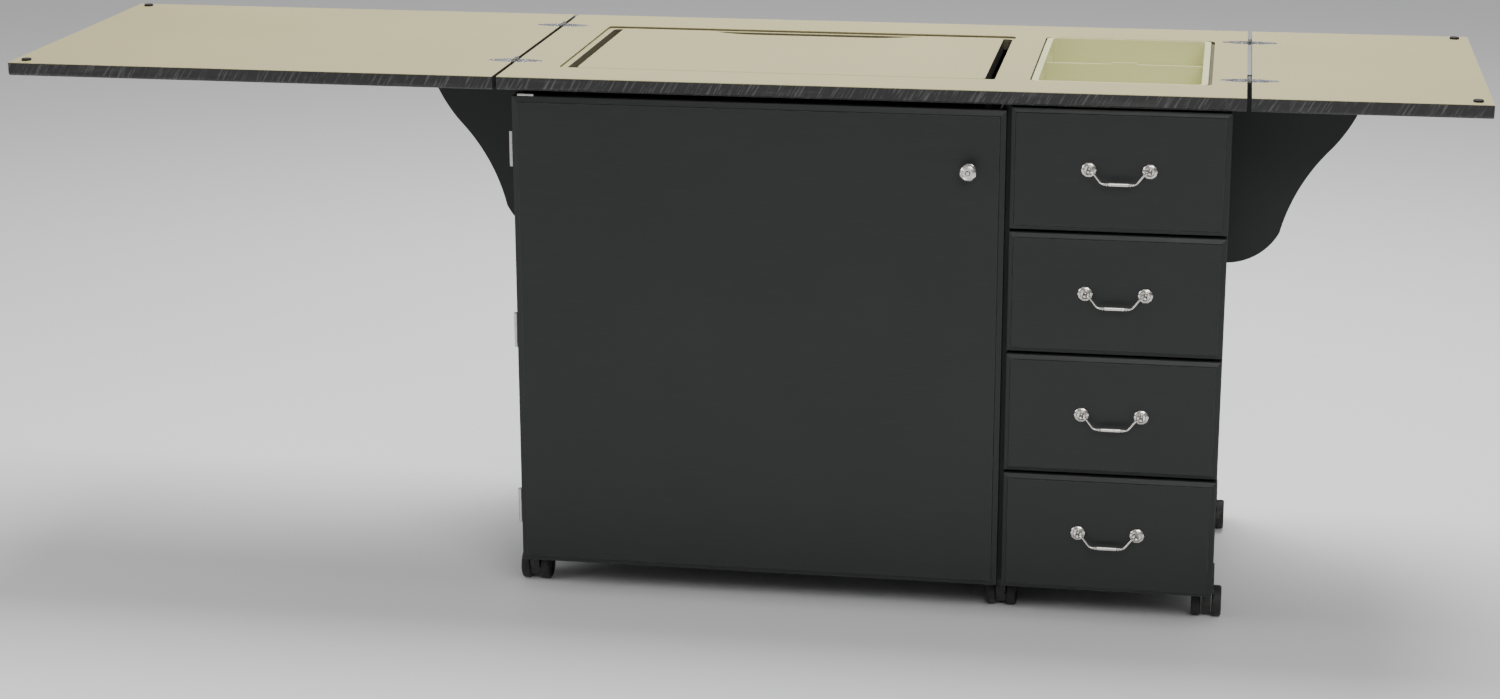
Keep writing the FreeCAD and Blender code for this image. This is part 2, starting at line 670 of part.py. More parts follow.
def butt_hinges():
    """Every butt hinge: three on the door and two on each wing board."""
    fixed, door = [], []
    axis, knuckle_edge = "door_axis_x", "door_axis_x + butt_radius + knuckle_clear"
    for middle in door_hinge_heights():
        end = "door_axis_x + butt_leaf"
        rear = ((knuckle_edge, "carcass_front - butt_thickness"), (end, "carcass_front"))
        rear_tongue = ((axis, "carcass_front - butt_thickness"), (knuckle_edge, "carcass_front"))
        face = ((knuckle_edge, "front_rear"), (end, "front_rear + butt_thickness"))
        face_tongue = ((axis, "front_rear"), (knuckle_edge, "front_rear + butt_thickness"))
        fixed.append(fixed_butt_leaf(axis, "door_axis_y", middle, rear, rear_tongue))
        door.append(moving_butt_leaf(axis, "door_axis_y", middle, face, face_tongue))
    wings = {"left": [], "right": []}
    for middle in support_hinge_heights():
        for side, sign in (("left", -1), ("right", 1)):
            panel_face, x = "side_" + side, "%s_support_axis_x" % side
            inner = "%s + %d * butt_thickness" % (panel_face, sign)
            near = "%s + %d * (support_axis_out + butt_radius + knuckle_clear)" % (panel_face, sign)
            far = "%s + %d * (support_axis_out + butt_leaf)" % (panel_face, sign)
            lows = sorted((panel_face, inner), key=size)
            spread = sorted((near, far), key=size)
            reach = sorted((x, near), key=size)
            clear_y = "support_axis_y + butt_radius + knuckle_clear"
            wall = ((lows[0], clear_y), (lows[1], "support_axis_y + butt_leaf"))
            fixed.append(fixed_butt_leaf(
                x, "support_axis_y", middle, wall,
                ((lows[0], "support_axis_y"), (lows[1], clear_y)),
            ))
            board_rear = "support_axis_y - support_axis_back"
            face = ((spread[0], board_rear), (spread[1], board_rear + " + butt_thickness"))
            tongue = ((reach[0], board_rear), (reach[1], board_rear + " + butt_thickness"))
            wings[side].append(moving_butt_leaf(x, "support_axis_y", middle, face, tongue))
    node("butt_hinge_fixed_leaves", fixed)
    node("door_hinge_leaves", door)
    for side, leaves in wings.items():
        node(side + "_support_hinge_leaves", leaves)


# ---------------------------------------------------------------- wing boards


def support_points():
    """Corners of a wing board's ogee outline, from its lower hinge corner round to the leaf."""
    return [
        ("0", "0"),
        ("support_reach * ogee_foot", "support_height * ogee_foot_rise"),
        ("support_reach * ogee_waist", "support_height * ogee_waist_rise"),
        ("support_reach", "support_height"),
        ("0", "support_height"),
    ]


def support_wings():
    """The two wing boards that swing out to carry the open leaves."""
    rounds = {
        0: ("support_reach * foot_round", -1),
        1: ("support_reach * hollow_round", 1),
        2: ("support_reach * shoulder_round", -1),
    }
    for side, sign in (("left", -1), ("right", 1)):
        inner = "side_%s + %d * support_clear" % (side, sign)
        body = outline_body("XZ_Plane", support_points(), "support_thickness",
                            (inner, "0", "support_low"), rounds)
        if sign < 0:
            body.Placement.Rotation = Rotation(Vector(0, 0, 1), 180)
            body.setExpression("Placement.Base.y", formula("support_face"))
        else:
            body.setExpression("Placement.Base.y", formula("support_face + support_thickness"))
        node(side + "_support_wing", [body])


# ---------------------------------------------------------------- door


def front_panel(left, right, low, high):
    """A door or drawer front with its face bevelled all round."""
    blank = block((left, "front_face", low), (right, "front_rear", high))
    face = size("front_face")
    return chamfer(blank, "front_bevel", bounds_match(YMin=face, YMax=face))


def stepped_knob(x, z):
    """A screw-on knob: base, neck and wide head, one turned solid."""
    steps = (
        ("front_face - knob_base", "knob_base", "knob_radius * 0.75"),
        ("front_face - knob_base - knob_neck", "knob_neck", "knob_radius * 0.42"),
        ("front_face - knob_base - knob_neck - knob_head", "knob_head", "knob_radius"),
        ("front_face - knob_reach", "knob_reach - knob_base - knob_neck - knob_head", "knob_radius * 0.6"),
    )
    return fuse([rod("y", (x, y, z), length, radius) for y, length, radius in steps])


def door():
    """The door, its knob, and the two halves of its magnetic catch."""
    node("door_panel", [front_panel("door_left", "door_right", "front_low", "door_top")])
    node("door_knob", [stepped_knob("knob_x", "knob_z")])
    low, high = "knob_z - catch_half", "knob_z + catch_half"
    inner = "bay_right - catch_width"
    node("door_catch", [
        block((inner, "carcass_front", low), ("bay_right", "carcass_front + catch_length", high)),
    ])
    node("door_catch_plate", [
        block((inner, "front_rear", low),
              ("bay_right - catch_plate_inset", "front_rear + catch_plate", high)),
    ])


# ---------------------------------------------------------------- drawers


def drawer_box(low):
    """Five boards; each side has a groove that hangs on a runner strip."""
    front, rear = "front_rear", "front_rear + box_depth"
    high = low + " + box_height"
    groove_low, groove_high = low + " + groove_rise", low + " + groove_rise + groove_height"
    boards = []
    for left, right, groove in (
        ("box_left", "box_left + box_board", ("box_left - 1", "box_left + groove_depth")),
        ("box_right - box_board", "box_right", ("box_right - groove_depth", "box_right + 1")),
    ):
        side = block((left, front, low), (right, rear, high))
        slot = block((groove[0], front + " + groove_start", groove_low),
                     (groove[1], rear + " + 1", groove_high))
        boards.append(cut(side, [slot]))
    inner_left, inner_right = "box_left + box_board", "box_right - box_board"
    for start, end, board_low in (
        (front, front + " + box_board", low),
        (rear + " - box_board", rear, low),
    ):
        boards.append(block((inner_left, start, board_low), (inner_right, end, high)))
    boards.append(block((inner_left, front + " + box_board", low + " + bottom_rise"),
                        (inner_right, rear + " - box_board", low + " + bottom_rise + box_bottom")))
    return boards


def handle_post(x, z, side):
    """A rosette and post, drilled from its inner side for the bail's end."""
    tip = "front_face - post_reach"
    solid = fuse([
        rod("y", (x, "front_face - rosette_thickness", z), "rosette_thickness", "rosette_radius"),
        rod("y", (x, tip, z), "post_reach", "post_radius"),
    ])
    start = x if side < 0 else x + " - post_radius - 1"
    return cut(solid, [rod("x", (start, "bail_axis_y", z), "post_radius + 1", "bail_radius + bail_fit")])


def bail(z):
    """The hanging bail: one bent wire with a thicker grip, ends in the two posts."""
    half, drop, wire = size("handle_spacing / 2"), size("bail_drop"), size("bail_radius")
    middle = Vector(size("handle_x"), size("bail_axis_y"), size(z))
    right = [
        Vector(half - size("bail_end"), 0, 0),
        Vector(half - size("bail_straight"), 0, 0),
        Vector(size("grip_half + bail_knee"), 0, -drop),
    ]
    route = [middle + Vector(-point.x, 0, point.z) for point in right]
    route += [middle + point for point in reversed(right)]
    shape = None
    for start, end in zip(route, route[1:]):
        run = end - start
        length = Part.makeCylinder(wire, run.Length, start, run)
        ball = Part.makeSphere(wire, end)
        shape = length if shape is None else shape.fuse([length])
        if (end - route[-1]).Length > 1:
            shape = shape.fuse([ball])
    grip = size("grip_half")
    low = middle - Vector(grip, 0, drop)
    shape = shape.fuse([Part.makeCylinder(size("grip_radius"), 2 * grip, low, Vector(1, 0, 0))])
    return shape_piece(shape)


def drawers():
    """Four equal drawers, numbered from the top, and the strips they hang on."""
    strips = []
    for number in (1, 2, 3, 4):
        name = "drawer_%d" % number
        low = "(front_low + %d * drawer_pitch)" % (4 - number)
        high = "(%s + drawer_front_height)" % low
        handle_z = "(%s - handle_drop)" % high
        box_low = "(%s + box_lift)" % low
        node(name + "_front", [front_panel("drawer_left", "drawer_right", low, high)])
        node(name + "_box", drawer_box(box_low))
        posts = (("handle_x - handle_spacing / 2", -1), ("handle_x + handle_spacing / 2", 1))
        node(name + "_handle_posts", [handle_post("(%s)" % x, handle_z, side) for x, side in posts])
        node(name + "_bail", [bail(handle_z)])
        strip_low = "%s + groove_rise + (groove_height - runner_height) / 2" % box_low
        strip_high = strip_low + " + runner_height"
        start, end = "carcass_front + runner_start", "back_face - runner_end"
        for left, right in (("column_left", "column_left + runner_depth"),
                            ("column_right - runner_depth", "column_right")):
            strips.append(block((left, start, strip_low), (right, end, strip_high)))
    node("drawer_runner_strips", strips)


# ---------------------------------------------------------------- machine lift


def lift_side(wall, sign):
    """Places across one side of the lift, from the wall (sign +1 goes right)."""
    steps = {}
    reach = "lift_plate"
    steps["plate"] = (wall, "%s + %d * lift_plate" % (wall, sign))
    reach += " + arm_play"
    near = "%s + %d * (%s)" % (wall, sign, reach)
    reach += " + arm_thickness"
    far = "%s + %d * (%s)" % (wall, sign, reach)
    steps["arm"] = (near, far)
    reach += " + arm_play"
    near = "%s + %d * (%s)" % (wall, sign, reach)
    reach += " + lift_plate"
    steps["bracket"] = (near, "%s + %d * (%s)" % (wall, sign, reach))
    return {name: sorted(ends, key=size) for name, ends in steps.items()}


def stud(ends, y, z):
    """A pivot stud between two places across the lift."""
    low, high = sorted(ends, key=size)
    return rod("x", (low, y, z), "(%s) - (%s)" % (high, low), "pivot_radius")


def arm(ends, z, front_fit):
    """A flat arm with round ends and two bores."""
    low, high = ends
    width = "(%s) - (%s)" % (high, low)
    half = "arm_height / 2"
    bar = block((low, "platform_pivot_y", "%s - %s" % (z, half)),
                (high, "wall_pivot_y", "%s + %s" % (z, half)))
    eyes = [rod("x", (low, y, z), width, half) for y in ("platform_pivot_y", "wall_pivot_y")]
    bores = [
        rod("x", (low + " - 1", y, z), width + " + 2", "pivot_radius + " + fit)
        for y, fit in (("platform_pivot_y", front_fit), ("wall_pivot_y", "pivot_fit"))
    ]
    return cut(fuse([bar] + eyes), bores)


def platform_points():
    """Platform outline with a shallow wave cut from the middle of its rear edge."""
    wide = "(platform_right - platform_left)"
    deep = "(platform_rear - platform_front)"
    short = "(%s - notch_depth)" % deep
    return [
        ("0", "0"),
        (wide, "0"),
        (wide, deep),
        (wide + " - notch_right", deep),
        (wide + " - notch_right - notch_run", short),
        ("notch_left + notch_run", short),
        ("notch_left", deep),
        ("0", deep),
    ]


def lift():
    """The sinking machine platform on two pairs of parallel arms."""
    sides = (("bay_left", 1), ("bay_right", -1))
    levels = ("upper_pivot_z", "lower_pivot_z")
    walls, upper, lower, brackets, tube_ends = [], [], [], [], []
    for wall, sign in sides:
        at = lift_side(wall, sign)
        plate = block((at["plate"][0], "wall_pivot_y - wall_plate_half", "lower_pivot_z - wall_plate_low"),
                      (at["plate"][1], "wall_pivot_y + wall_plate_half", "upper_pivot_z + wall_plate_half"))
        stud_end = "%s + %d * (lift_plate + arm_play + arm_thickness - stud_set_back)" % (wall, sign)
        walls.append(fuse([plate] + [stud((wall, stud_end), "wall_pivot_y", z) for z in levels]))
        upper.append(arm(at["arm"], "upper_pivot_z", "pivot_fit"))
        lower.append(arm(at["arm"], "lower_pivot_z", "open_pivot_fit"))
        tube_ends.append(at["arm"][1] if sign > 0 else at["arm"][0])

        edge = "platform_left" if sign > 0 else "platform_right"
        web = "%s + %d * bracket_inset" % (edge, sign)
        front, rear = "platform_pivot_y - bracket_front", "platform_pivot_y + bracket_rear"
        inner = sorted((web, "%s + %d * bracket_flange" % (web, sign)), key=size)
        upright = sorted((web, "%s + %d * lift_plate" % (web, sign)), key=size)
        across = sorted((at["bracket"][0], at["bracket"][1], upright[0], upright[1]), key=size)
        shelf_top = "lower_pivot_z - shelf_drop"
        shelf_low = shelf_top + " - lift_plate"
        stud_start = at["bracket"][1] if sign > 0 else at["bracket"][0]
        stud_stop = "%s + %d * (lift_plate + 2 * stud_set_back)" % (wall, sign)
        brackets.append(fuse([
            block((inner[0], front, "under_top - lift_plate"), (inner[1], rear, "under_top")),
            block((upright[0], front, shelf_low), (upright[1], rear, "under_top")),
            block((across[0], front, shelf_low), (across[3], rear, shelf_top)),
            block((at["bracket"][0], front, shelf_low),
                  (at["bracket"][1], rear, "upper_pivot_z + bracket_rise")),
        ] + [stud((stud_start, stud_stop), "platform_pivot_y", z) for z in levels]))
    tube = rod("x", (tube_ends[0], "wall_pivot_y", "upper_pivot_z"),
               "(%s) - (%s)" % (tube_ends[1], tube_ends[0]), "torsion_radius")
    node("lift_wall_brackets", walls)
    node("lift_upper_arms", [fuse(upper + [tube])])
    node("lift_lower_arms", lower)
    node("lift_platform_brackets", brackets)
    platform = outline_body("XY_Plane", platform_points(), "top_thickness",
                            ("platform_left", "platform_front", "under_top"))
    node("lift_platform", [platform])


# ---------------------------------------------------------------- tray


def rounded_block(low, high, amount):
    """A box with its four upright edges rounded."""
    tall = size("(%s) - (%s)" % (high[2], low[2]))
    return rounded(block(low, high), amount, lambda box: abs(box.ZLength - tall) < 0.01)


def tray():
    """The moulded tray: side rims on the ledges, two compartments and a tabbed divider."""
    left, right = "rim_left + tray_rim", "rim_right - tray_rim"
    low, top = "top_height - tray_depth", "rim_low + tray_rim_thickness"
    corner = "opening_round + tray_round_extra"
    basin = rounded_block((left, "rim_front", low), (right, "rim_rear", top), corner)
    rim = rounded_block(("rim_left", "rim_front", "rim_low"), ("rim_right", "rim_rear", top), corner)
    hollow = rounded_block(
        (left + " + tray_wall", "rim_front + tray_wall", low + " + tray_wall"),
        (right + " - tray_wall", "rim_rear - tray_wall", "top_height + 1"),
        corner + " - tray_wall",
    )
    middle = "((rim_front + rim_rear) / 2)"
    near, far = middle + " - tray_wall / 2", middle + " + tray_wall / 2"
    divider_top = "top_height - tray_divider_drop"
    wall = block((left, near, low), (right, far, divider_top))
    centre = "((rim_left + rim_right) / 2)"
    tab = block((centre + " - tray_tab_width / 2", near, divider_top),
                (centre + " + tray_tab_width / 2", far, divider_top + " + tray_tab_rise"))
    node("notions_tray", [fuse([cut(fuse([basin, rim]), [hollow]), wall, tab])])


# ---------------------------------------------------------------- casters


def caster_places():
    """Name, swivel axis and outer side (-1, 0 or +1) of each caster."""
    across = (
        ("left", "side_left + caster_side_inset", -1),
        ("middle", "divider_x", 0),
        ("right", "side_right - caster_side_inset", 1),
    )
    along = (("front", "top_front + caster_front_inset"), ("rear", "top_back - caster_rear_inset"))
    return [
        ("caster_%s_%s" % (row, column), "(%s)" % x, "(%s)" % y, outer)
        for row, y in along for column, x, outer in across
    ]


def caster_plate(x, y, outer):
    """The steel plate under the cupboard; an outer one turns up against the side."""
    half = "caster_plate_size / 2"
    left, right = "%s - %s" % (x, half), "%s + %s" % (x, half)
    front, rear = "%s - %s" % (y, half), "%s + %s" % (y, half)
    if outer < 0:
        left = "side_left - tab_thickness"
        tab = (left, "side_left")
    if outer > 0:
        right = "side_right + tab_thickness"
        tab = ("side_right", right)
    solid = block((left, front, "plate_low"), (right, rear, "base_height"))
    if outer:
        solid = fuse([solid, block((tab[0], front, "plate_low"), (tab[1], rear, "plate_low + tab_height"))])
    return cut(solid, [rod("z", (x, y, "plate_low - 1"), "caster_plate + 2", "stem_radius + pin_fit")])


def caster_body(x, y):
    """The body between the wheels: round hub, swivel boss and stem, bored for the axle."""
    axle_y = "%s + caster_trail" % y
    left = "%s - hub_width / 2" % x
    hub = rod("x", (left, axle_y, "wheel_radius"), "hub_width", "hub_radius")
    boss = rod("z", (x, y, "wheel_radius"), "plate_low - boss_clear - wheel_radius", "hub_width / 2")
    web = block((left, y, "wheel_radius"), ("%s + hub_width / 2" % x, axle_y, "wheel_radius + hub_radius"))
    stem = rod("z", (x, y, "wheel_radius"), "base_height - stem_reach - wheel_radius", "stem_radius")
    bore = rod("x", (left + " - 1", axle_y, "wheel_radius"), "hub_width + 2", "axle_radius + pin_fit")
    return cut(fuse([hub, boss, web, stem]), [bore])


def caster_wheels(x, y):
    """Two wheels on one axle."""
    axle_y = "%s + caster_trail" % y
    inner = "hub_width / 2 + wheel_play"
    outer = inner + " + wheel_width"
    axle = rod("x", ("%s - (%s)" % (x, outer), axle_y, "wheel_radius"), "2 * (%s)" % outer, "axle_radius")
    wheels = []
    for start in ("%s - (%s)" % (x, outer), "%s + %s" % (x, inner)):
        disc = rod("x", (start, axle_y, "wheel_radius"), "wheel_width", "wheel_radius")
        hole = rod("x", (start + " - 1", axle_y, "wheel_radius"), "wheel_width + 2", "axle_radius")
        wheels.append(cut(disc, [hole]))
    return wheels + [axle]


def casters():
    """Six swivelling twin-wheel casters and their plates."""
    plates = []
    for name, x, y, outer in caster_places():
        plates.append(caster_plate(x, y, outer))
        node(name + "_body", [caster_body(x, y)])
        node(name + "_wheels", caster_wheels(x, y))
    node("caster_plates", plates)


# ---------------------------------------------------------------- build and write

panels()
top_and_leaves()
butt_hinges()
support_wings()
door()
drawers()
lift()
tray()
casters()
doc.recompute()

for item in doc.Objects:
    if "Invalid" in item.State or "Error" in item.State:
        raise RuntimeError("%s (%s) failed: %s" % (item.Label, item.Name, item.State))
for piece in NODES:
    if piece.Shape.isNull() or not piece.Shape.isValid():
        raise RuntimeError("%s has no valid shape" % piece.Label)

os.makedirs("parts", exist_ok=True)
for piece in NODES:
    piece.Shape.exportStep("parts/%s.step" % piece.Label)
print("%d sub-parts" % len(NODES))
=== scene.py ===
import json
import math

import bmesh
import bpy
from mathutils import Matrix, Quaternion, Vector

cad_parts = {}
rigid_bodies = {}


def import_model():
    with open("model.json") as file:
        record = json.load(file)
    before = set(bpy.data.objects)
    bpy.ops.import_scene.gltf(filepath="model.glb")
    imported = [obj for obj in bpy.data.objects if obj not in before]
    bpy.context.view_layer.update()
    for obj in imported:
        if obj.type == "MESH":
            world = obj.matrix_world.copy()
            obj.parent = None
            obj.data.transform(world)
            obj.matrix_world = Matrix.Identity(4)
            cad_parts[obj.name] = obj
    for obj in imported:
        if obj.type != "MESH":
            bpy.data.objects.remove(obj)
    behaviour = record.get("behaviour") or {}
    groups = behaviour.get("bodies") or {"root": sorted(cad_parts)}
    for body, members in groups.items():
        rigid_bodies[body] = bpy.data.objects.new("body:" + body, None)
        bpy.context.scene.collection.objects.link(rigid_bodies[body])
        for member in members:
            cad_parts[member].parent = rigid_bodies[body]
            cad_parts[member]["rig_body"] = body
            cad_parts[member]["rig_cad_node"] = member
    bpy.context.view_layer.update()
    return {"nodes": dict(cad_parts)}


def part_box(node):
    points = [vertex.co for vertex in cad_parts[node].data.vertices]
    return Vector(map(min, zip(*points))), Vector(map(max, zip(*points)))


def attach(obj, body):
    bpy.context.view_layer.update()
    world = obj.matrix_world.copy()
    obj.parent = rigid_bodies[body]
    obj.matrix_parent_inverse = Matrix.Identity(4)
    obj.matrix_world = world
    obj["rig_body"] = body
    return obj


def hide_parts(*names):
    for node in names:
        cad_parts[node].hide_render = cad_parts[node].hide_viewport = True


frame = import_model()
nodes = frame["nodes"]

# ---------------------------------------------------------------- the room
# A plain pale floor under soft studio light: a wide lamp overhead, one in front and a weaker
# one to the left, under a sky that is brighter above.  The camera is at eye height, in
# front and a little to the right.
bpy.ops.object.select_all(action="DESELECT")
bpy.ops.mesh.primitive_plane_add(size=60, location=(0, 0, 0))
floor = bpy.context.active_object
floor.name = "studio_floor"
pale = bpy.data.materials.new("pale_floor")
pale.use_nodes = True
pale_shader = pale.node_tree.nodes["Principled BSDF"]
pale_shader.inputs["Base Color"].default_value = (0.80, 0.80, 0.805, 1)
pale_shader.inputs["Roughness"].default_value = 0.55
pale_shader.inputs["Specular IOR Level"].default_value = 0.2
floor.data.materials.append(pale)

world = bpy.data.worlds.new("studio")
bpy.context.scene.world = world
world.use_nodes = True
sky = world.node_tree
direction = sky.nodes.new("ShaderNodeTexCoord")
rise = sky.nodes.new("ShaderNodeSeparateXYZ")
sky.links.new(direction.outputs["Generated"], rise.inputs["Vector"])
fade = sky.nodes.new("ShaderNodeMapRange")
fade.inputs["From Min"].default_value = 0.05
fade.inputs["From Max"].default_value = 0.75
fade.inputs["To Min"].default_value = 0.10
fade.inputs["To Max"].default_value = 0.55
sky.links.new(rise.outputs["Z"], fade.inputs["Value"])
sky.links.new(fade.outputs["Result"], sky.nodes["Background"].inputs["Strength"])
sky.nodes["Background"].inputs["Color"].default_value = (1.0, 1.0, 1.0, 1)


def soft_light(name, at, aim, wide, tall, power):
    """A flat studio lamp at one point, facing another."""
    bpy.ops.object.light_add(type="AREA", location=at)
    lamp = bpy.context.active_object
    lamp.name = name
    lamp.data.shape = "RECTANGLE"
    lamp.data.size = wide
    lamp.data.size_y = tall
    lamp.data.energy = power
    lamp.rotation_euler = (Vector(aim) - Vector(at)).to_track_quat("-Z", "Y").to_euler()


soft_light("overhead_light", (0.25, 0.9, 3.3), (0.2, 0.0, 0.5), 2.4, 1.6, 165)
soft_light("front_light", (1.5, -3.6, 3.0), (0.1, 0, 0.6), 2.6, 1.6, 85)
soft_light("left_light", (-3.4, -2.2, 2.0), (-0.2, 0, 0.4), 2.0, 2.0, 34)

yaw, pitch, roll = -0.16549, -0.27945, -0.00253
ahead = Vector((math.sin(yaw) * math.cos(pitch), math.cos(yaw) * math.cos(pitch), math.sin(pitch)))
bpy.ops.object.camera_add(location=(0.68225, -4.10323, 1.50506))
camera = bpy.context.active_object
camera.rotation_mode = "QUATERNION"
camera.rotation_quaternion = Quaternion(ahead, -roll) @ ahead.to_track_quat("-Z", "Y")
camera.data.sensor_width = 36
camera.data.lens = 69.68
bpy.context.scene.camera = camera


# ---------------------------------------------------------------- cupboard panels
# Sides, divider and bottom are 16 mm chipboard faced with black melamine that has a
# pressed wood grain.  They are screwed together, and a 6 mm hardboard back closes them.
def put(tree, kind, inputs, **settings):
    """Adds one node; an input is a number, a colour or another node's output."""
    node = tree.nodes.new(kind)
    for name, value in settings.items():
        setattr(node, name, value)
    for name, value in inputs.items():
        if isinstance(value, bpy.types.NodeSocket):
            tree.links.new(value, node.inputs[name])
        else:
            node.inputs[name].default_value = value
    return node


def mixed(tree, mask, first, second):
    """The colour between two others, as the mask says."""
    node = tree.nodes.new("ShaderNodeMix")
    node.data_type = "RGBA"
    for socket, value in ((0, mask), (6, first), (7, second)):
        if isinstance(value, bpy.types.NodeSocket):
            tree.links.new(value, node.inputs[socket])
        else:
            node.inputs[socket].default_value = value
    return node.outputs[2]


def between(tree, value, low, high, out_low, out_high):
    """A value from one range brought into another."""
    node = put(tree, "ShaderNodeMapRange", {
        "Value": value, "From Min": low, "From Max": high, "To Min": out_low, "To Max": out_high,
    })
    return node.outputs["Result"]


def noise(tree, vector, scale, detail, roughness=0.5):
    """A noise texture node."""
    return put(tree, "ShaderNodeTexNoise", {
        "Vector": vector, "Scale": scale, "Detail": detail, "Roughness": roughness,
    })


def vary_roughness(tree, shader, value, low, high, out_low, out_high):
    """Lets the roughness follow a value, from one range to another."""
    tree.links.new(between(tree, value, low, high, out_low, out_high), shader.inputs["Roughness"])


def new_group(name, inputs, outputs):
    """An empty shader group with its named sockets."""
    group = bpy.data.node_groups.new(name, "ShaderNodeTree")
    for label, kind, value in inputs:
        socket = group.interface.new_socket(label, in_out="INPUT", socket_type=kind)
        if value is not None:
            socket.default_value = value
    for label, kind in outputs:
        group.interface.new_socket(label, in_out="OUTPUT", socket_type=kind)
    return group, group.nodes.new("NodeGroupInput"), group.nodes.new("NodeGroupOutput")


def use_group(tree, group, inputs):
    """One copy of a shared group in a material."""
    node = tree.nodes.new("ShaderNodeGroup")
    node.node_tree = group
    for name, value in inputs.items():
        if isinstance(value, bpy.types.NodeSocket):
            tree.links.new(value, node.inputs[name])
        else:
            node.inputs[name].default_value = value
    return node


def new_finish(name, roughness, metallic=0.0, specular=0.5):
    """A material with its shader and the piece's own coordinates."""
    finish = bpy.data.materials.new(name)
    finish.use_nodes = True
    tree = finish.node_tree
    shader = tree.nodes["Principled BSDF"]
    shader.inputs["Roughness"].default_value = roughness
    shader.inputs["Metallic"].default_value = metallic
    shader.inputs["Specular IOR Level"].default_value = specular
    spot = tree.nodes.new("ShaderNodeTexCoord").outputs["Object"]
    return finish, tree, shader, spot


def add_bump(tree, shader, height, distance, strength=1.0):
    """Raises the surface by a height pattern, in metres."""
    bump = put(tree, "ShaderNodeBump",
               {"Height": height, "Distance": distance, "Strength": strength})
    tree.links.new(bump.outputs["Normal"], shader.inputs["Normal"])


def pressed_grain_group():
    """Long pores of a pressed wood grain; the vector's X runs along the grain."""
    group, start, end = new_group(
        "pressed_grain",
        [("Vector", "NodeSocketVector", None), ("Density", "NodeSocketFloat", 90.0)],
        [("Pores", "NodeSocketFloat"), ("Cloud", "NodeSocketFloat"), ("Height", "NodeSocketFloat")],
    )
    long = put(group, "ShaderNodeMapping",
               {"Vector": start.outputs["Vector"], "Scale": (0.07, 1.0, 1.0)})
    wander = noise(group, long.outputs["Vector"], 9.0, 3.0, 0.5)
    shifted = put(group, "ShaderNodeVectorMath", {0: long.outputs["Vector"]}, operation="ADD")
    sway = put(group, "ShaderNodeVectorMath", {0: wander.outputs["Color"]}, operation="SCALE")
    sway.inputs["Scale"].default_value = 0.02
    group.links.new(sway.outputs["Vector"], shifted.inputs[1])
    fine = noise(group, shifted.outputs["Vector"], start.outputs["Density"], 5.0, 0.62)
    pores = between(group, fine.outputs["Fac"], 0.54, 0.68, 0.0, 1.0)
    wide = noise(group, start.outputs["Vector"], 5.0, 4.0, 0.6)
    group.links.new(pores, end.inputs["Pores"])
    group.links.new(wide.outputs["Fac"], end.inputs["Cloud"])
    group.links.new(fine.outputs["Fac"], end.inputs["Height"])
    return group


def edge_wear_group():
    """Where an edge is rubbed: the bevelled normal leaves the true one, broken up by noise."""
    group, start, end = new_group(
        "edge_wear",
        [("Vector", "NodeSocketVector", None), ("Break Up", "NodeSocketFloat", 120.0)],
        [("Mask", "NodeSocketFloat")],
    )
    soft = put(group, "ShaderNodeBevel", {"Radius": 0.0012}, samples=4)
    true = put(group, "ShaderNodeNewGeometry", {})
    facing = put(group, "ShaderNodeVectorMath",
                 {0: soft.outputs["Normal"], 1: true.outputs["Normal"]}, operation="DOT_PRODUCT")
    edge = between(group, facing.outputs["Value"], 0.985, 0.86, 0.0, 1.0)
    patch = noise(group, start.outputs["Vector"], start.outputs["Break Up"], 4.0)
    torn = between(group, patch.outputs["Fac"], 0.42, 0.62, 0.15, 1.0)
    both = put(group, "ShaderNodeMath", {0: edge, 1: torn}, operation="MULTIPLY")
    group.links.new(both.outputs["Value"], end.inputs["Mask"])
    return group


def light_dust_group():
    """A thin film of dust that lies on what faces up."""
    group, start, end = new_group(
        "light_dust",
        [("Vector", "NodeSocketVector", None), ("Amount", "NodeSocketFloat", 0.1)],
        [("Mask", "NodeSocketFloat")],
    )
    true = put(group, "ShaderNodeNewGeometry", {})
    upward = put(group, "ShaderNodeSeparateXYZ", {"Vector": true.outputs["Normal"]})
    flat = between(group, upward.outputs["Z"], 0.5, 1.0, 0.0, 1.0)
    specks = noise(group, start.outputs["Vector"], 38.0, 8.0, 0.7)
    loose = between(group, specks.outputs["Fac"], 0.35, 0.75, 0.2, 1.0)
    film = put(group, "ShaderNodeMath", {0: flat, 1: loose}, operation="MULTIPLY")
    scaled = put(group, "ShaderNodeMath",
                 {0: film.outputs["Value"], 1: start.outputs["Amount"]}, operation="MULTIPLY")
    group.links.new(scaled.outputs["Value"], end.inputs["Mask"])
    return group


grain = pressed_grain_group()
wear = edge_wear_group()
dust = light_dust_group()


def black_board(name, turn):
    """Black melamine with its pressed grain along X, or turned to run up the board."""
    finish, tree, shader, spot = new_finish(name, 0.42, specular=0.35)
    along = put(tree, "ShaderNodeMapping", {"Vector": spot, "Rotation": turn})
    lines = use_group(tree, grain, {"Vector": along.outputs["Vector"], "Density": 260.0})
    rubbed = use_group(tree, wear, {"Vector": spot})
    settled = use_group(tree, dust, {"Vector": spot, "Amount": 0.10})
    shade = mixed(tree, lines.outputs["Cloud"],
                  (0.0130, 0.0145, 0.0140, 1), (0.0175, 0.0192, 0.0187, 1))
    pores = mixed(tree, lines.outputs["Pores"], shade, (0.0190, 0.0202, 0.0197, 1))
    worn = mixed(tree, rubbed.outputs["Mask"], pores, (0.075, 0.076, 0.076, 1))
    dusty = mixed(tree, settled.outputs["Mask"], worn, (0.30, 0.29, 0.27, 1))
    tree.links.new(dusty, shader.inputs["Base Color"])
    vary_roughness(tree, shader, lines.outputs["Height"], 0.3, 0.7, 0.40, 0.50)
    add_bump(tree, shader, lines.outputs["Height"], 0.00012, 0.25)
    return finish


board_across = black_board("black_board_across", (0, 0, 0))
board_upright = black_board("black_board_upright", (0, math.radians(90), 0))


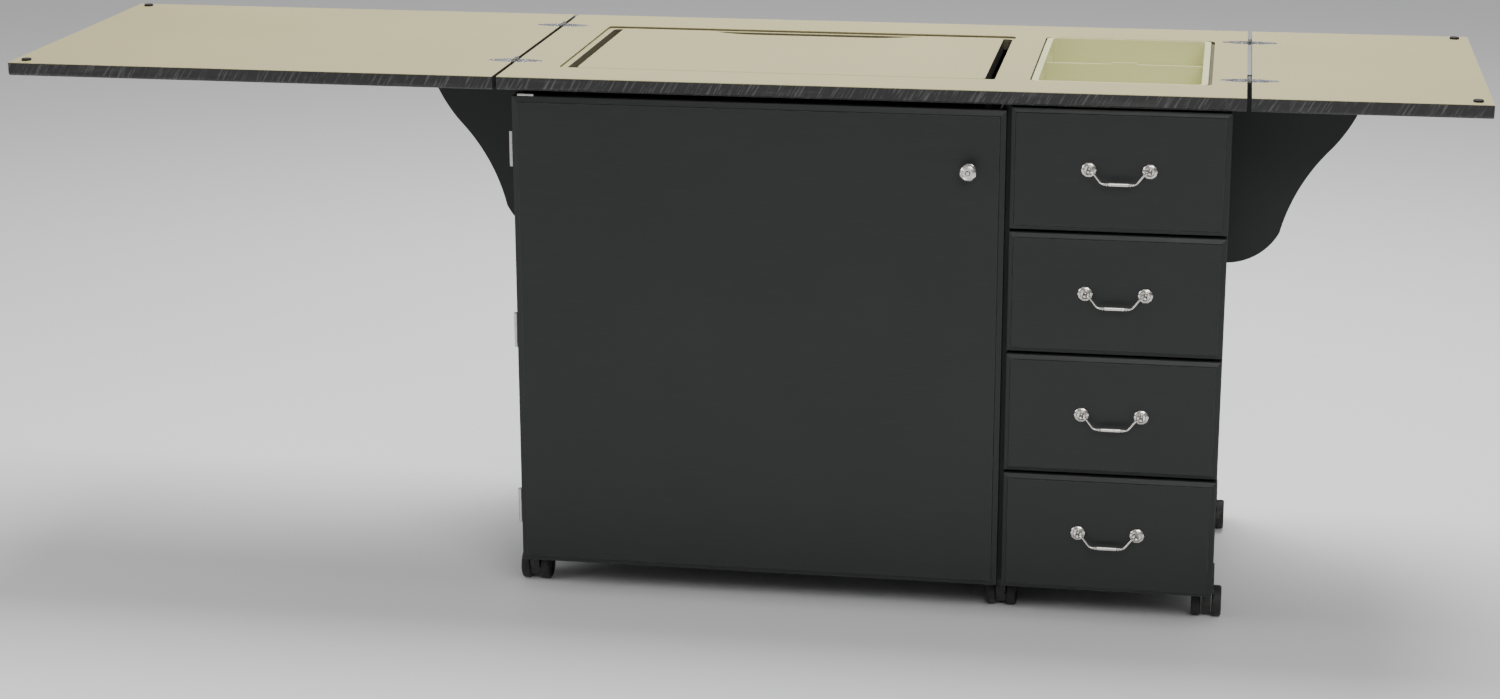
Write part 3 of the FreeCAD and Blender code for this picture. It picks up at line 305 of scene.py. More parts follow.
def select_only(piece):
    """Makes one piece the selected and active one."""
    bpy.ops.object.select_all(action="DESELECT")
    piece.select_set(True)
    bpy.context.view_layer.objects.active = piece


def apply_modifier(piece, kind, **settings):
    """Adds a modifier and applies it."""
    select_only(piece)
    modifier = piece.modifiers.new(kind.lower(), kind)
    for name, value in settings.items():
        setattr(modifier, name, value)
    bpy.ops.object.modifier_apply(modifier=modifier.name)


def ease_edges(piece, width, steps=2, angle=35):
    """Takes the sharpness off every edge and shades the rest flat."""
    apply_modifier(piece, "BEVEL", width=width, segments=steps, limit_method="ANGLE",
                   angle_limit=math.radians(angle), harden_normals=False)
    bpy.ops.object.shade_smooth_by_angle(angle=math.radians(30))
    apply_modifier(piece, "WEIGHTED_NORMAL", keep_sharp=True)


def finished_copy(node, name, width):
    """A welded copy of a CAD node with its edges eased."""
    piece = nodes[node].copy()
    piece.data = nodes[node].data.copy()
    bpy.context.scene.collection.objects.link(piece)
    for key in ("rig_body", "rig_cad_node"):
        del piece[key]
    piece.parent = None
    piece.name = name
    select_only(piece)
    bpy.ops.object.mode_set(mode="EDIT")
    bpy.ops.mesh.select_all(action="SELECT")
    bpy.ops.mesh.remove_doubles(threshold=0.00002)
    bpy.ops.mesh.dissolve_limited(angle_limit=math.radians(1.0))
    bpy.ops.object.mode_set(mode="OBJECT")
    if width:
        ease_edges(piece, width)
    return piece


def hand_over(piece, body, slot, finishes, *replaced):
    """Gives a piece its finishes and its body, and hides the CAD nodes it replaces; slot is not
    used.
    """
    piece.data.materials.clear()
    for finish in finishes:
        piece.data.materials.append(finish)
    for face in piece.data.polygons:
        face.material_index = 0
    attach(piece, body)
    if replaced:
        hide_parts(*replaced)
    return piece


for label, finish in (("left_side_panel", board_upright), ("right_side_panel", board_upright),
                      ("divider_panel", board_upright), ("bottom_panel", board_across)):
    panel = finished_copy(label, label + "_faced", 0.0006)
    hand_over(panel, "root", "black_panel", [finish], label)

hardboard, tree, shader, spot = new_finish("black_hardboard", 0.7, specular=0.25)
fibres = noise(tree, spot, 420.0, 6.0, 0.7)
mottle = put(tree, "ShaderNodeTexVoronoi", {"Vector": spot, "Scale": 260.0})
hard_shade = mixed(tree, fibres.outputs["Fac"], (0.010, 0.010, 0.010, 1), (0.030, 0.028, 0.026, 1))
film = use_group(tree, dust, {"Vector": spot, "Amount": 0.2})
hard_dusty = mixed(tree, film.outputs["Mask"], hard_shade, (0.3, 0.29, 0.27, 1))
tree.links.new(hard_dusty, shader.inputs["Base Color"])
add_bump(tree, shader, mottle.outputs["Distance"], 0.0003, 0.5)
back_sheet = finished_copy("back_panel", "hardboard_back", 0.0004)
hand_over(back_sheet, "root", "hardboard", [hardboard], "back_panel")

# ---------------------------------------------------------------- wing boards
# Two ogee brackets of the same black board.  Each hangs on two butt hinges on a side and
# swings out to hold an open leaf, or back against the side when the leaf is folded over.
wing_room = 0.0008
for side in ("left", "right"):
    wing = finished_copy(side + "_support_wing", side + "_wing_board", 0)
    way = 1 if side == "right" else -1
    inner = min(vertex.co.x * way for vertex in wing.data.vertices)
    for vertex in wing.data.vertices:
        if vertex.co.x * way < inner + 0.0001:
            vertex.co.x -= way * wing_room
    ease_edges(wing, 0.0006)
    hand_over(wing, side + "_support", "black_panel", [board_upright], side + "_support_wing")

# ---------------------------------------------------------------- top
# A 19 mm board with two stepped openings, black on its edges and underside, under a
# sheet of beige laminate whose edge shows as a pale line along the front.
def box_piece(name, low, high):
    """A block between two corners, its place in its mesh."""
    bpy.ops.object.select_all(action="DESELECT")
    low, high = Vector(low), Vector(high)
    bpy.ops.mesh.primitive_cube_add(size=1, location=(low + high) / 2, scale=high - low)
    piece = bpy.context.active_object
    piece.name = name
    bpy.ops.object.transform_apply(location=True, rotation=True, scale=True)
    return piece


def open_edit(piece, mode, wanted):
    """Goes into edit mode with the faces or edges that are wanted selected."""
    select_only(piece)
    bpy.ops.object.mode_set(mode="EDIT")
    bpy.ops.mesh.select_mode(type=mode)
    bpy.ops.mesh.select_all(action="DESELECT")
    pick(piece, mode, wanted)


def pick(piece, mode, wanted):
    """Selects faces or edges in edit mode by a test."""
    mesh = bmesh.from_edit_mesh(piece.data)
    chosen = mesh.faces if mode == "FACE" else mesh.edges
    for item in chosen:
        item.select_set(bool(wanted(item)))
    mesh.select_flush_mode()
    bmesh.update_edit_mesh(piece.data)


def close_edit():
    """Back to object mode."""
    bpy.ops.object.mode_set(mode="OBJECT")


def upright(edge):
    """True for an edge that runs straight up."""
    run = edge.verts[1].co - edge.verts[0].co
    return abs(run.z) > 0.9 * run.length


def round_corners(piece, radius, steps=8):
    """Rounds the upright edges of a block."""
    open_edit(piece, "EDGE", upright)
    bpy.ops.mesh.bevel(offset=radius, segments=steps, affect="EDGES")
    close_edit()


def take_out(piece, tool):
    """Cuts one piece with another, which goes."""
    apply_modifier(piece, "BOOLEAN", operation="DIFFERENCE", solver="EXACT", object=tool)
    bpy.data.objects.remove(tool)


def swollen_copy(node, name, amount):
    """A welded copy of a CAD node, a little larger all round, to cut a recess with."""
    tool = finished_copy(node, name, 0)
    apply_modifier(tool, "DISPLACE", strength=amount, mid_level=0.0)
    return tool


def laminate(name, base, speck):
    """Satin beige laminate: a faint brushed grain, fine specks, slight wear at the edges."""
    finish, tree, shader, spot = new_finish(name, 0.36, specular=0.45)
    along = put(tree, "ShaderNodeMapping", {"Vector": spot, "Scale": (0.12, 1.0, 1.0)})
    brushed = noise(tree, along.outputs["Vector"], 210.0, 5.0, 0.6)
    specks = noise(tree, spot, 620.0, 3.0)
    cloud = noise(tree, spot, 2.6, 4.0)
    dark = tuple(value * 0.93 for value in base[:3]) + (1,)
    toned = mixed(tree, between(tree, cloud.outputs["Fac"], 0.3, 0.7, 0.0, 1.0), dark, base)
    lined = mixed(tree, between(tree, brushed.outputs["Fac"], 0.55, 0.75, 0.0, 0.55), toned, speck)
    dotted = mixed(tree, between(tree, specks.outputs["Fac"], 0.62, 0.72, 0.0, 0.6), lined, speck)
    rubbed = use_group(tree, wear, {"Vector": spot, "Break Up": 90.0})
    pale_edge = tuple(min(1.0, value * 1.35) for value in base[:3]) + (1,)
    edged = mixed(tree, rubbed.outputs["Mask"], dotted, pale_edge)
    tree.links.new(edged, shader.inputs["Base Color"])
    vary_roughness(tree, shader, specks.outputs["Fac"], 0.3, 0.7, 0.30, 0.44)
    add_bump(tree, shader, brushed.outputs["Fac"], 0.00008, 0.3)
    return finish


beige = laminate("beige_laminate", (0.455, 0.412, 0.220, 1), (0.39, 0.352, 0.188, 1))

raw_wall, tree, shader, spot = new_finish("stained_board_edge", 0.75, specular=0.2)
chips = put(tree, "ShaderNodeTexVoronoi", {"Vector": spot, "Scale": 380.0})
stain = noise(tree, spot, 60.0, 6.0)
wall_shade = mixed(tree, stain.outputs["Fac"], (0.105, 0.095, 0.058, 1), (0.185, 0.170, 0.108, 1))
chipped = mixed(tree, between(tree, chips.outputs["Distance"], 0.2, 0.7, 0.0, 0.5),
                wall_shade, (0.060, 0.054, 0.036, 1))
tree.links.new(chipped, shader.inputs["Base Color"])
add_bump(tree, shader, chips.outputs["Distance"], 0.0004, 0.6)


def streaked_edge(name):
    """The black edge band: long pores crossed by paler slanting rubs."""
    finish, tree, shader, spot = new_finish(name, 0.4, specular=0.4)
    lines = use_group(tree, grain, {"Vector": spot, "Density": 130.0})
    slant = put(tree, "ShaderNodeMapping",
                {"Vector": spot, "Rotation": (0, math.radians(30), 0), "Scale": (1.0, 1.0, 14.0)},
                vector_type="TEXTURE")
    rubs = noise(tree, slant.outputs["Vector"], 330.0, 4.0, 0.6)
    base = mixed(tree, lines.outputs["Pores"], (0.020, 0.0205, 0.020, 1), (0.034, 0.034, 0.033, 1))
    streaks = mixed(tree, between(tree, rubs.outputs["Fac"], 0.53, 0.66, 0.0, 0.9),
                    base, (0.095, 0.096, 0.095, 1))
    rubbed = use_group(tree, wear, {"Vector": spot, "Break Up": 150.0})
    worn = mixed(tree, rubbed.outputs["Mask"], streaks, (0.10, 0.10, 0.098, 1))
    tree.links.new(worn, shader.inputs["Base Color"])
    vary_roughness(tree, shader, rubs.outputs["Fac"], 0.3, 0.7, 0.46, 0.34)
    add_bump(tree, shader, lines.outputs["Height"], 0.0002, 0.4)
    return finish


edge_band = streaked_edge("black_edge_band")
SKIN = 0.0008
BOARD_CHAMFER = 0.003
HINGE_ROOM = 0.00025
top_low, top_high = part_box("top_panel")
platform_low, platform_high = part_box("lift_platform")
tray_low, tray_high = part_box("notions_tray")
well_front = platform_low.y - 0.002
well_rear = platform_high.y + 0.020
well_left = platform_low.x - 0.0265
well_right = platform_high.x + 0.017
bin_left, bin_right = tray_low.x - 0.0025, tray_high.x + 0.0055
bin_front, bin_rear = tray_low.y - 0.0015, tray_high.y + 0.0015


def open_the_top(piece):
    """Cuts both stepped, round-cornered openings through a board or its laminate."""
    deep = top_low.z - 0.01
    for left, right, front, rear, bottom in (
        (well_left, well_right, well_front, well_rear, top_high.z - 0.0034),
        (well_left + 0.009, well_right - 0.0045, well_front, well_rear - 0.008, deep),
        (bin_left, bin_right, bin_front, bin_rear, top_high.z - 0.004),
        (bin_left + 0.007, bin_right - 0.007, bin_front, bin_rear, deep),
    ):
        tool = box_piece("opening", (left, front, bottom), (right, rear, top_high.z + 0.01))
        round_corners(tool, 0.008)
        take_out(piece, tool)


def chamfer_below(piece, width):
    """The chamfer along the lower front and rear edges of a board."""
    ends = [vertex.co for vertex in piece.data.vertices]
    front, rear = min(co.y for co in ends), max(co.y for co in ends)
    low = min(co.z for co in ends)

    def lower_long(edge):
        first, second = edge.verts[0].co, edge.verts[1].co
        level = abs(first.z - low) < 1e-5 and abs(second.z - low) < 1e-5
        outer = any(abs(first.y - y) < 1e-5 and abs(second.y - y) < 1e-5 for y in (front, rear))
        return level and outer
    open_edit(piece, "EDGE", lower_long)
    bpy.ops.mesh.bevel(offset=width, segments=1, affect="EDGES")
    close_edit()


def colour_faces(piece, choose):
    """Gives each face the finish whose number the test returns."""
    for face in piece.data.polygons:
        face.material_index = choose(face)


board = box_piece("top_board", top_low, (top_high.x, top_high.y, top_high.z - SKIN))
chamfer_below(board, BOARD_CHAMFER)
open_the_top(board)
take_out(board, swollen_copy("leaf_hinge_fixed_plates", "recess", HINGE_ROOM))
ease_edges(board, 0.0004, 1)


def board_face(face):
    """Band outside, stained wall inside the openings, laminate on the machine well's ledge."""
    at, out = face.center, face.normal
    inside = (top_low.x + 0.03 < at.x < top_high.x - 0.03
              and top_low.y + 0.02 < at.y < top_high.y - 0.02)
    if inside and out.z > 0.5 and at.x < platform_high.x:
        return 2
    return 1 if inside and out.z > -0.5 else 0


hand_over(board, "root", "laminate_top", [edge_band, raw_wall, beige], "top_panel")
colour_faces(board, board_face)

sheet_top = box_piece("top_laminate", (top_low.x, top_low.y, top_high.z - SKIN), top_high)
open_the_top(sheet_top)
take_out(sheet_top, swollen_copy("leaf_hinge_fixed_plates", "recess", HINGE_ROOM))
ease_edges(sheet_top, 0.00025, 2)
hand_over(sheet_top, "root", "laminate_top", [beige])

# ---------------------------------------------------------------- leaves
# Two boards like the top's, faced with the same laminate.  Each has a pair of rubber
# bumpers pressed in near its outer corners, which it rests on when it is folded over.
rubber, tree, shader, spot = new_finish("black_rubber", 0.8, specular=0.3)
pits = noise(tree, spot, 900.0, 4.0)
bloom = noise(tree, spot, 140.0, 3.0)
rubber_shade = mixed(tree, bloom.outputs["Fac"], (0.006, 0.006, 0.006, 1), (0.016, 0.016, 0.016, 1))
rubber_dust = use_group(tree, dust, {"Vector": spot, "Amount": 0.12})
tree.links.new(mixed(tree, rubber_dust.outputs["Mask"], rubber_shade, (0.25, 0.24, 0.22, 1)),
               shader.inputs["Base Color"])
add_bump(tree, shader, pits.outputs["Fac"], 0.0002, 0.5)


def placed_copy(model, name, shift):
    """A copy of a piece already made, with its own mesh moved to where it goes."""
    twin = model.copy()
    twin.data = model.data.copy()
    twin.name = name
    bpy.context.scene.collection.objects.link(twin)
    twin.data.transform(Matrix.Translation(shift))
    return twin


def rubber_bumper(radius, height):
    """A domed rubber foot with a dimple, standing on the origin."""
    bpy.ops.object.select_all(action="DESELECT")
    bpy.ops.mesh.primitive_cylinder_add(vertices=40, radius=radius, depth=height,
                                        location=(0, 0, height / 2))
    piece = bpy.context.active_object
    bpy.ops.object.transform_apply(location=True, rotation=True, scale=True)
    open_edit(piece, "FACE", lambda face: face.normal.z > 0.9)
    bpy.ops.mesh.inset(thickness=0.0012, depth=0)
    bpy.ops.mesh.inset(thickness=0.0022, depth=-0.0006)
    close_edit()
    ease_edges(piece, 0.0009, 3)
    return piece


bumper_low, bumper_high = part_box("left_leaf_bumpers")
bumper_radius = 0.007
bumper_model = rubber_bumper(bumper_radius, bumper_high.z - bumper_low.z)
for side in ("left", "right"):
    body = side + "_leaf"
    low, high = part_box(body + "_panel")
    leaf = box_piece(body + "_board", low, (high.x, high.y, high.z - SKIN))
    chamfer_below(leaf, BOARD_CHAMFER)
    take_out(leaf, swollen_copy(body + "_hinge_plates", "recess", HINGE_ROOM))
    ease_edges(leaf, 0.0004, 1)
    hand_over(leaf, body, "laminate_top", [edge_band], body + "_panel")
    sheet_leaf = box_piece(body + "_laminate", (low.x, low.y, high.z - SKIN), high)
    take_out(sheet_leaf, swollen_copy(body + "_hinge_plates", "recess", HINGE_ROOM))
    ease_edges(sheet_leaf, 0.00025, 2)
    hand_over(sheet_leaf, body, "laminate_top", [beige])
    first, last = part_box(body + "_bumpers")
    across = (first.x + last.x) / 2
    for number, deep in enumerate((first.y + bumper_radius, last.y - bumper_radius), start=1):
        bumper = placed_copy(bumper_model, "%s_bumper_%d" % (body, number), (across, deep, first.z))
        hand_over(bumper, body, "rubber_black", [rubber], body + "_bumpers")
bpy.data.objects.remove(bumper_model)

# ---------------------------------------------------------------- leaf hinges
# Flush butterfly hinges of nickel-plated steel: two wings engraved with plain swirls, joined
# by a short barrel that stands above the seam, each wing held by three small screws.
def nickel(name, base, roughness, pattern):
    """Bright plating with fine swirls and faint tarnish; pattern is the depth of the engraving."""
    finish, tree, shader, spot = new_finish(name, roughness, metallic=1.0)
    tarnish = noise(tree, spot, 85.0, 5.0)
    dull = tuple(value * 0.72 for value in base[:3]) + (1,)
    shade = mixed(tree, between(tree, tarnish.outputs["Fac"], 0.5, 0.72, 0.0, 0.7), base, dull)
    if pattern:
        turned = put(tree, "ShaderNodeTexWave", {
            "Vector": spot, "Scale": 120.0, "Distortion": 9.0, "Detail": 2.0, "Detail Scale": 3.0,
        }, wave_type="RINGS", rings_direction="Z")
        cut_lines = between(tree, turned.outputs["Fac"], 0.35, 0.6, 0.0, 1.0)
        shade = mixed(tree, cut_lines, (0.10, 0.10, 0.12, 1), shade)
        height, depth = cut_lines, pattern
    else:
        height, depth = noise(tree, spot, 900.0, 2.0).outputs["Fac"], 0.00002
    tree.links.new(shade, shader.inputs["Base Color"])
    vary_roughness(tree, shader, tarnish.outputs["Fac"], 0.3, 0.75,
                   roughness * 0.7, roughness * 1.6)
    add_bump(tree, shader, height, depth, 0.6)
    return finish


bright = nickel("polished_nickel", (0.74, 0.72, 0.68, 1), 0.16, 0)
engraved = nickel("engraved_nickel", (0.50, 0.51, 0.55, 1), 0.34, 0.00015)
seam_hinges = (
    ("leaf_hinge_fixed_plates", "root"),
    ("left_leaf_hinge_plates", "left_leaf"),
    ("right_leaf_hinge_plates", "right_leaf"),
)
for node, body in seam_hinges:
    plates = finished_copy(node, node + "_plated", 0.0002)
    hand_over(plates, body, "hinge_steel", [engraved], node)


def flat_screw():
    """A small countersunk screw head with a cross slot, facing up, its middle on the origin."""
    bpy.ops.object.select_all(action="DESELECT")
    bpy.ops.mesh.primitive_cylinder_add(vertices=24, radius=0.0021, depth=0.0012)
    screw = bpy.context.active_object
    for wide, deep in ((0.0015, 0.00022), (0.00022, 0.0015)):
        take_out(screw, box_piece("slot", (-wide, -deep, 0.0002), (wide, deep, 0.002)))
    ease_edges(screw, 0.0001, 1)
    return screw


screw_model = flat_screw()
seams = {"left": (top_low.x - 0.00325, -1), "right": (top_high.x + 0.00325, 1)}
rows = (top_low.y + 0.125, top_high.y - 0.098)
spots = ((0.01175, -0.0075), (0.01175, 0.0075), (0.03325, 0.0))
for side, (seam, out) in seams.items():
    for row, y in enumerate(rows, start=1):
        for name, way, body in (("fixed", -out, "root"), ("moving", out, side + "_leaf")):
            for number, (across, deep) in enumerate(spots, start=1):
                label = "%s_seam_%s_%d_screw_%d" % (side, name, row, number)
                at = (seam + way * across, y + deep, top_high.z - 0.0003)
                screw = placed_copy(screw_model, label, at)
                hand_over(screw, body, "hinge_steel", [bright])
bpy.data.objects.remove(screw_model)

# ---------------------------------------------------------------- door
# One wide door of the black board, its face raised inside a sloping border with a thin
# step.  It hangs on three nickel butt hinges and closes on a magnetic catch.
def facing_front(face):
    """True for a face that looks out to the front."""
    return face.normal.y < -0.9


def bordered_front(name, node, slope):
    """A door or drawer front: a slab whose face rises inside a sloping border."""
    low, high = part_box(node)
    piece = box_piece(name, (low.x, low.y + 0.0050, low.z), high)
    open_edit(piece, "FACE", facing_front)
    bpy.ops.mesh.inset(thickness=0.0009, depth=0.0006)
    bpy.ops.mesh.inset(thickness=slope, depth=0.0022)
    bpy.ops.mesh.inset(thickness=0.0006, depth=0.0022)
    close_edit()
    ease_edges(piece, 0.0004, 2, 25)
    return piece


door_slope, drawer_slope = 0.0068, 0.0052
door = bordered_front("door_slab", "door_panel", door_slope)
hand_over(door, "door", "black_panel", [board_across], "door_panel")

brushed, tree, shader, spot = new_finish("plated_hinge_steel", 0.28, metallic=1.0)
drawn = put(tree, "ShaderNodeMapping", {"Vector": spot, "Scale": (1.0, 1.0, 0.06)})
strokes = noise(tree, drawn.outputs["Vector"], 700.0, 4.0)
rust_spots = noise(tree, spot, 120.0, 5.0)
steel = mixed(tree, strokes.outputs["Fac"], (0.50, 0.49, 0.46, 1), (0.70, 0.69, 0.65, 1))
aged = mixed(tree, between(tree, rust_spots.outputs["Fac"], 0.6, 0.75, 0.0, 0.6),
             steel, (0.25, 0.22, 0.18, 1))
tree.links.new(aged, shader.inputs["Base Color"])
vary_roughness(tree, shader, strokes.outputs["Fac"], 0.3, 0.7, 0.20, 0.40)
add_bump(tree, shader, strokes.outputs["Fac"], 0.00005, 0.5)
hinge_sets = (
    ("butt_hinge_fixed_leaves", "root"),
    ("door_hinge_leaves", "door"),
    ("left_support_hinge_leaves", "left_support"),
    ("right_support_hinge_leaves", "right_support"),
)
for node, body in hinge_sets:
    leaves = finished_copy(node, node + "_plated", 0.0002)
    hand_over(leaves, body, "hinge_steel", [brushed], node)

door_low, door_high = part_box("door_panel")
stay = box_piece("door_top_stay", (door_low.x + 0.0090, door_low.y + 0.0008, door_high.z + 0.0010),
                 (door_low.x + 0.0320, door_low.y + 0.0180, door_high.z + 0.0040))
open_edit(stay, "FACE", lambda face: abs(face.normal.z) > 0.9)
bpy.ops.mesh.inset(thickness=0.0012, depth=-0.0002)
close_edit()
ease_edges(stay, 0.0004, 2)
hand_over(stay, "root", "hinge_steel", [brushed])

dark_plastic, tree, shader, spot = new_finish("dark_moulded_plastic", 0.5, specular=0.4)
texture = put(tree, "ShaderNodeTexVoronoi", {"Vector": spot, "Scale": 1400.0})
flow = noise(tree, spot, 24.0, 3.0)
plastic_shade = mixed(tree, flow.outputs["Fac"], (0.020, 0.019, 0.018, 1), (0.040, 0.038, 0.036, 1))
scuffed = use_group(tree, wear, {"Vector": spot})
tree.links.new(mixed(tree, scuffed.outputs["Mask"], plastic_shade, (0.12, 0.12, 0.115, 1)),
               shader.inputs["Base Color"])
add_bump(tree, shader, texture.outputs["Distance"], 0.0001, 0.4)
catch = finished_copy("door_catch", "magnetic_catch", 0.0008)
hand_over(catch, "root", "runner_plastic", [dark_plastic], "door_catch")

zinc, tree, shader, spot = new_finish("zinc_plate", 0.38, metallic=1.0)
spangle = put(tree, "ShaderNodeTexVoronoi", {"Vector": spot, "Scale": 160.0}, feature="F1")
cloudy = noise(tree, spot, 50.0, 5.0)
zinc_shade = mixed(tree, spangle.outputs["Distance"], (0.34, 0.35, 0.36, 1), (0.56, 0.57, 0.58, 1))
tree.links.new(mixed(tree, between(tree, cloudy.outputs["Fac"], 0.55, 0.8, 0.0, 0.6), zinc_shade,
                     (0.20, 0.20, 0.20, 1)), shader.inputs["Base Color"])
vary_roughness(tree, shader, cloudy.outputs["Fac"], 0.3, 0.7, 0.28, 0.5)
catch_plate = finished_copy("door_catch_plate", "catch_steel_plate", 0.0003)
hand_over(catch_plate, "door", "plate_steel", [zinc], "door_catch_plate")

# ---------------------------------------------------------------- door knob
# A turned and faceted knob of polished nickel on a round foot, fixed from behind the door
# with one screw: eight flats round the head and a ringed face whose groove walls carry painted
# shade.
# A dark nickel that is painted shade: it darkens the groove walls of the knob's rings and the
# recess of each rosette.
painted_recess_shade, tree, shader, spot = new_finish("nickel_painted_recess_shade", 0.45, metallic=1.0)
shade_mottle = noise(tree, spot, 400.0, 4.0)
tree.links.new(mixed(tree, shade_mottle.outputs["Fac"], (0.010, 0.010, 0.010, 1), (0.07, 0.065, 0.06, 1)),
               shader.inputs["Base Color"])
add_bump(tree, shader, shade_mottle.outputs["Fac"], 0.0001, 0.5)


def front_disc(name, sides, radius, centre, depth, turn=0.0):
    """A short many-sided bar that faces the front, its back on the given point."""
    bpy.ops.object.select_all(action="DESELECT")
    at = Vector(centre) - Vector((0, depth / 2, 0))
    bpy.ops.mesh.primitive_cylinder_add(vertices=sides, radius=radius, depth=depth, location=at,
                                        rotation=(math.radians(90), 0, 0))
    piece = bpy.context.active_object
    piece.name = name
    bpy.ops.object.transform_apply(location=True, rotation=True, scale=True)
    if turn:
        open_edit(piece, "FACE", lambda face: True)
        bpy.ops.transform.rotate(value=turn, orient_axis="Y", center_override=Vector(centre))
        close_edit()
    return piece


def grow_front(steps, centre):
    """Draws the selected front face out by steps of length and scale."""
    for length, scale in steps:
        bpy.ops.mesh.extrude_region_move(TRANSFORM_OT_translate={"value": (0, -length, 0)})
        if scale != 1.0:
            bpy.ops.transform.resize(value=(scale, 1, scale), center_override=Vector(centre))


knob_low, knob_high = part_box("door_knob")
knob_at = Vector(((knob_low.x + knob_high.x) / 2, knob_high.y, (knob_low.z + knob_high.z) / 2))
knob = front_disc("nickel_knob", 8, 0.0098, knob_at, 0.0018, math.radians(22.5))
open_edit(knob, "FACE", facing_front)
grow_front(((0.0012, 0.80), (0.0016, 0.62), (0.0050, 0.95), (0.0016, 1.35), (0.0022, 1.52),
            (0.0030, 1.28), (0.0028, 0.98), (0.0014, 0.86), (0.0006, 0.90)), knob_at)
bpy.ops.mesh.inset(thickness=0.0006, depth=-0.0007)
bpy.ops.mesh.inset(thickness=0.0012, depth=0.0012)
close_edit()
ease_edges(knob, 0.00035, 2)
ring_at = Vector((knob_at.x, knob_low.y + 0.0042, knob_at.z))
rings = front_disc("knob_rings", 48, 0.0060, ring_at, 0.0016)
open_edit(rings, "FACE", facing_front)
for thick, deep in ((0.0007, -0.0007), (0.0006, 0.0010), (0.0007, -0.0009),
                    (0.0006, 0.0012), (0.0010, 0.0009)):
    bpy.ops.mesh.inset(thickness=thick, depth=deep)
close_edit()
ease_edges(rings, 0.00012, 1)
# The rings' front faces are bright nickel; the walls between them get painted shade.
hand_over(rings, "door", "nickel", [bright, painted_recess_shade])
colour_faces(rings, lambda face: 0 if face.normal.y < -0.9 else 1)
hand_over(knob, "door", "nickel", [bright], "door_knob")

# ---------------------------------------------------------------- drawers
# Four equal drawers: a bordered front like the door's, screwed to a pale grooved box that
# hangs on a plastic strip at each side.
pale_wood, tree, shader, spot = new_finish("lacquered_box_wood", 0.45, specular=0.4)
box_lines = use_group(tree, grain, {"Vector": put(tree, "ShaderNodeMapping", {
    "Vector": spot, "Rotation": (0, 0, math.radians(90))}).outputs["Vector"], "Density": 110.0})
wood_base = mixed(tree, box_lines.outputs["Cloud"], (0.46, 0.33, 0.19, 1), (0.62, 0.48, 0.31, 1))
wood_shade = mixed(tree, box_lines.outputs["Pores"], wood_base, (0.30, 0.19, 0.095, 1))
wood_rubbed = use_group(tree, wear, {"Vector": spot})
tree.links.new(mixed(tree, wood_rubbed.outputs["Mask"], wood_shade, (0.70, 0.58, 0.42, 1)),
               shader.inputs["Base Color"])
add_bump(tree, shader, box_lines.outputs["Height"], 0.0002, 0.4)

strips = finished_copy("drawer_runner_strips", "drawer_hanging_strips", 0.0006)
hand_over(strips, "root", "runner_plastic", [dark_plastic], "drawer_runner_strips")
rose_radius = 0.0104
bail_reach, bail_half, bail_drop = 0.013, 0.0407, 0.0165


def rosette(name, at):
    """A stepped ten-sided rosette, sunk in the middle where the ring of painted shade and the
    ball-ended post go.
    """
    piece = front_disc(name, 10, rose_radius, at, 0.0012, math.radians(18))
    open_edit(piece, "FACE", facing_front)
    bpy.ops.mesh.inset(thickness=0.0016, depth=0.0013)
    bpy.ops.mesh.inset(thickness=0.0012, depth=0.0002)
    bpy.ops.mesh.inset(thickness=0.0008, depth=0.0010)
    bpy.ops.mesh.inset(thickness=0.0005, depth=-0.0008)
    close_edit()
    ease_edges(piece, 0.00022, 2)
    return piece


def dark_cup(name, at):
    """A dark ring sunk in the rosette round the post: painted shade in the rosette's recess."""
    piece = front_disc(name, 32, 0.0062, (at.x, at.y - 0.0024, at.z), 0.0006)
    open_edit(piece, "FACE", facing_front)
    bpy.ops.mesh.inset(thickness=0.0012, depth=-0.0003)
    close_edit()
    return piece


def ball_post(name, at):
    """The post that carries the bail, waisted behind a ball end."""
    piece = front_disc(name, 32, 0.0030, (at.x, at.y - 0.0010, at.z), 0.0060)
    open_edit(piece, "FACE", facing_front)
    grow_front(((0.0010, 0.82), (0.0026, 1.0), (0.0008, 1.20), (0.0014, 1.10), (0.0018, 1.0),
                (0.0014, 0.88), (0.0010, 0.72), (0.0006, 0.52)), at)
    close_edit()
    ease_edges(piece, 0.0003, 2)
    return piece


def wire_bail(name, centre, half, drop):
    """The bent wire between the posts, made along a path and turned to a mesh."""
    path = [(-half, 0), (-half + 0.0045, -0.0004), (-half + 0.0085, -0.0045),
            (-half + 0.0150, -0.0135), (-half + 0.0190, -drop), (-0.0150, -drop)]
    path += [(-x, z) for x, z in reversed(path)]
    bpy.ops.object.select_all(action="DESELECT")
    bpy.ops.curve.primitive_nurbs_path_add(location=(0, 0, 0))
    wire = bpy.context.active_object
    wire.name = name
    spline = wire.data.splines[0]
    spline.points.add(len(path) - len(spline.points))
    for point, (x, z) in zip(spline.points, path):
        point.co = (centre.x + x, centre.y, centre.z + z, 1)
    spline.order_u = 3
    spline.use_endpoint_u = True
    spline.resolution_u = 8
    wire.data.bevel_depth = 0.0015
    wire.data.bevel_resolution = 4
    wire.data.use_fill_caps = True
    bpy.ops.object.convert(target="MESH")
    wire = bpy.context.active_object
    open_edit(wire, "FACE", lambda face: True)
    bpy.ops.mesh.remove_doubles(threshold=0.00001)
    bpy.ops.mesh.normals_make_consistent(inside=False)
    close_edit()
    bpy.ops.object.shade_smooth_by_angle(angle=math.radians(40))
    return wire


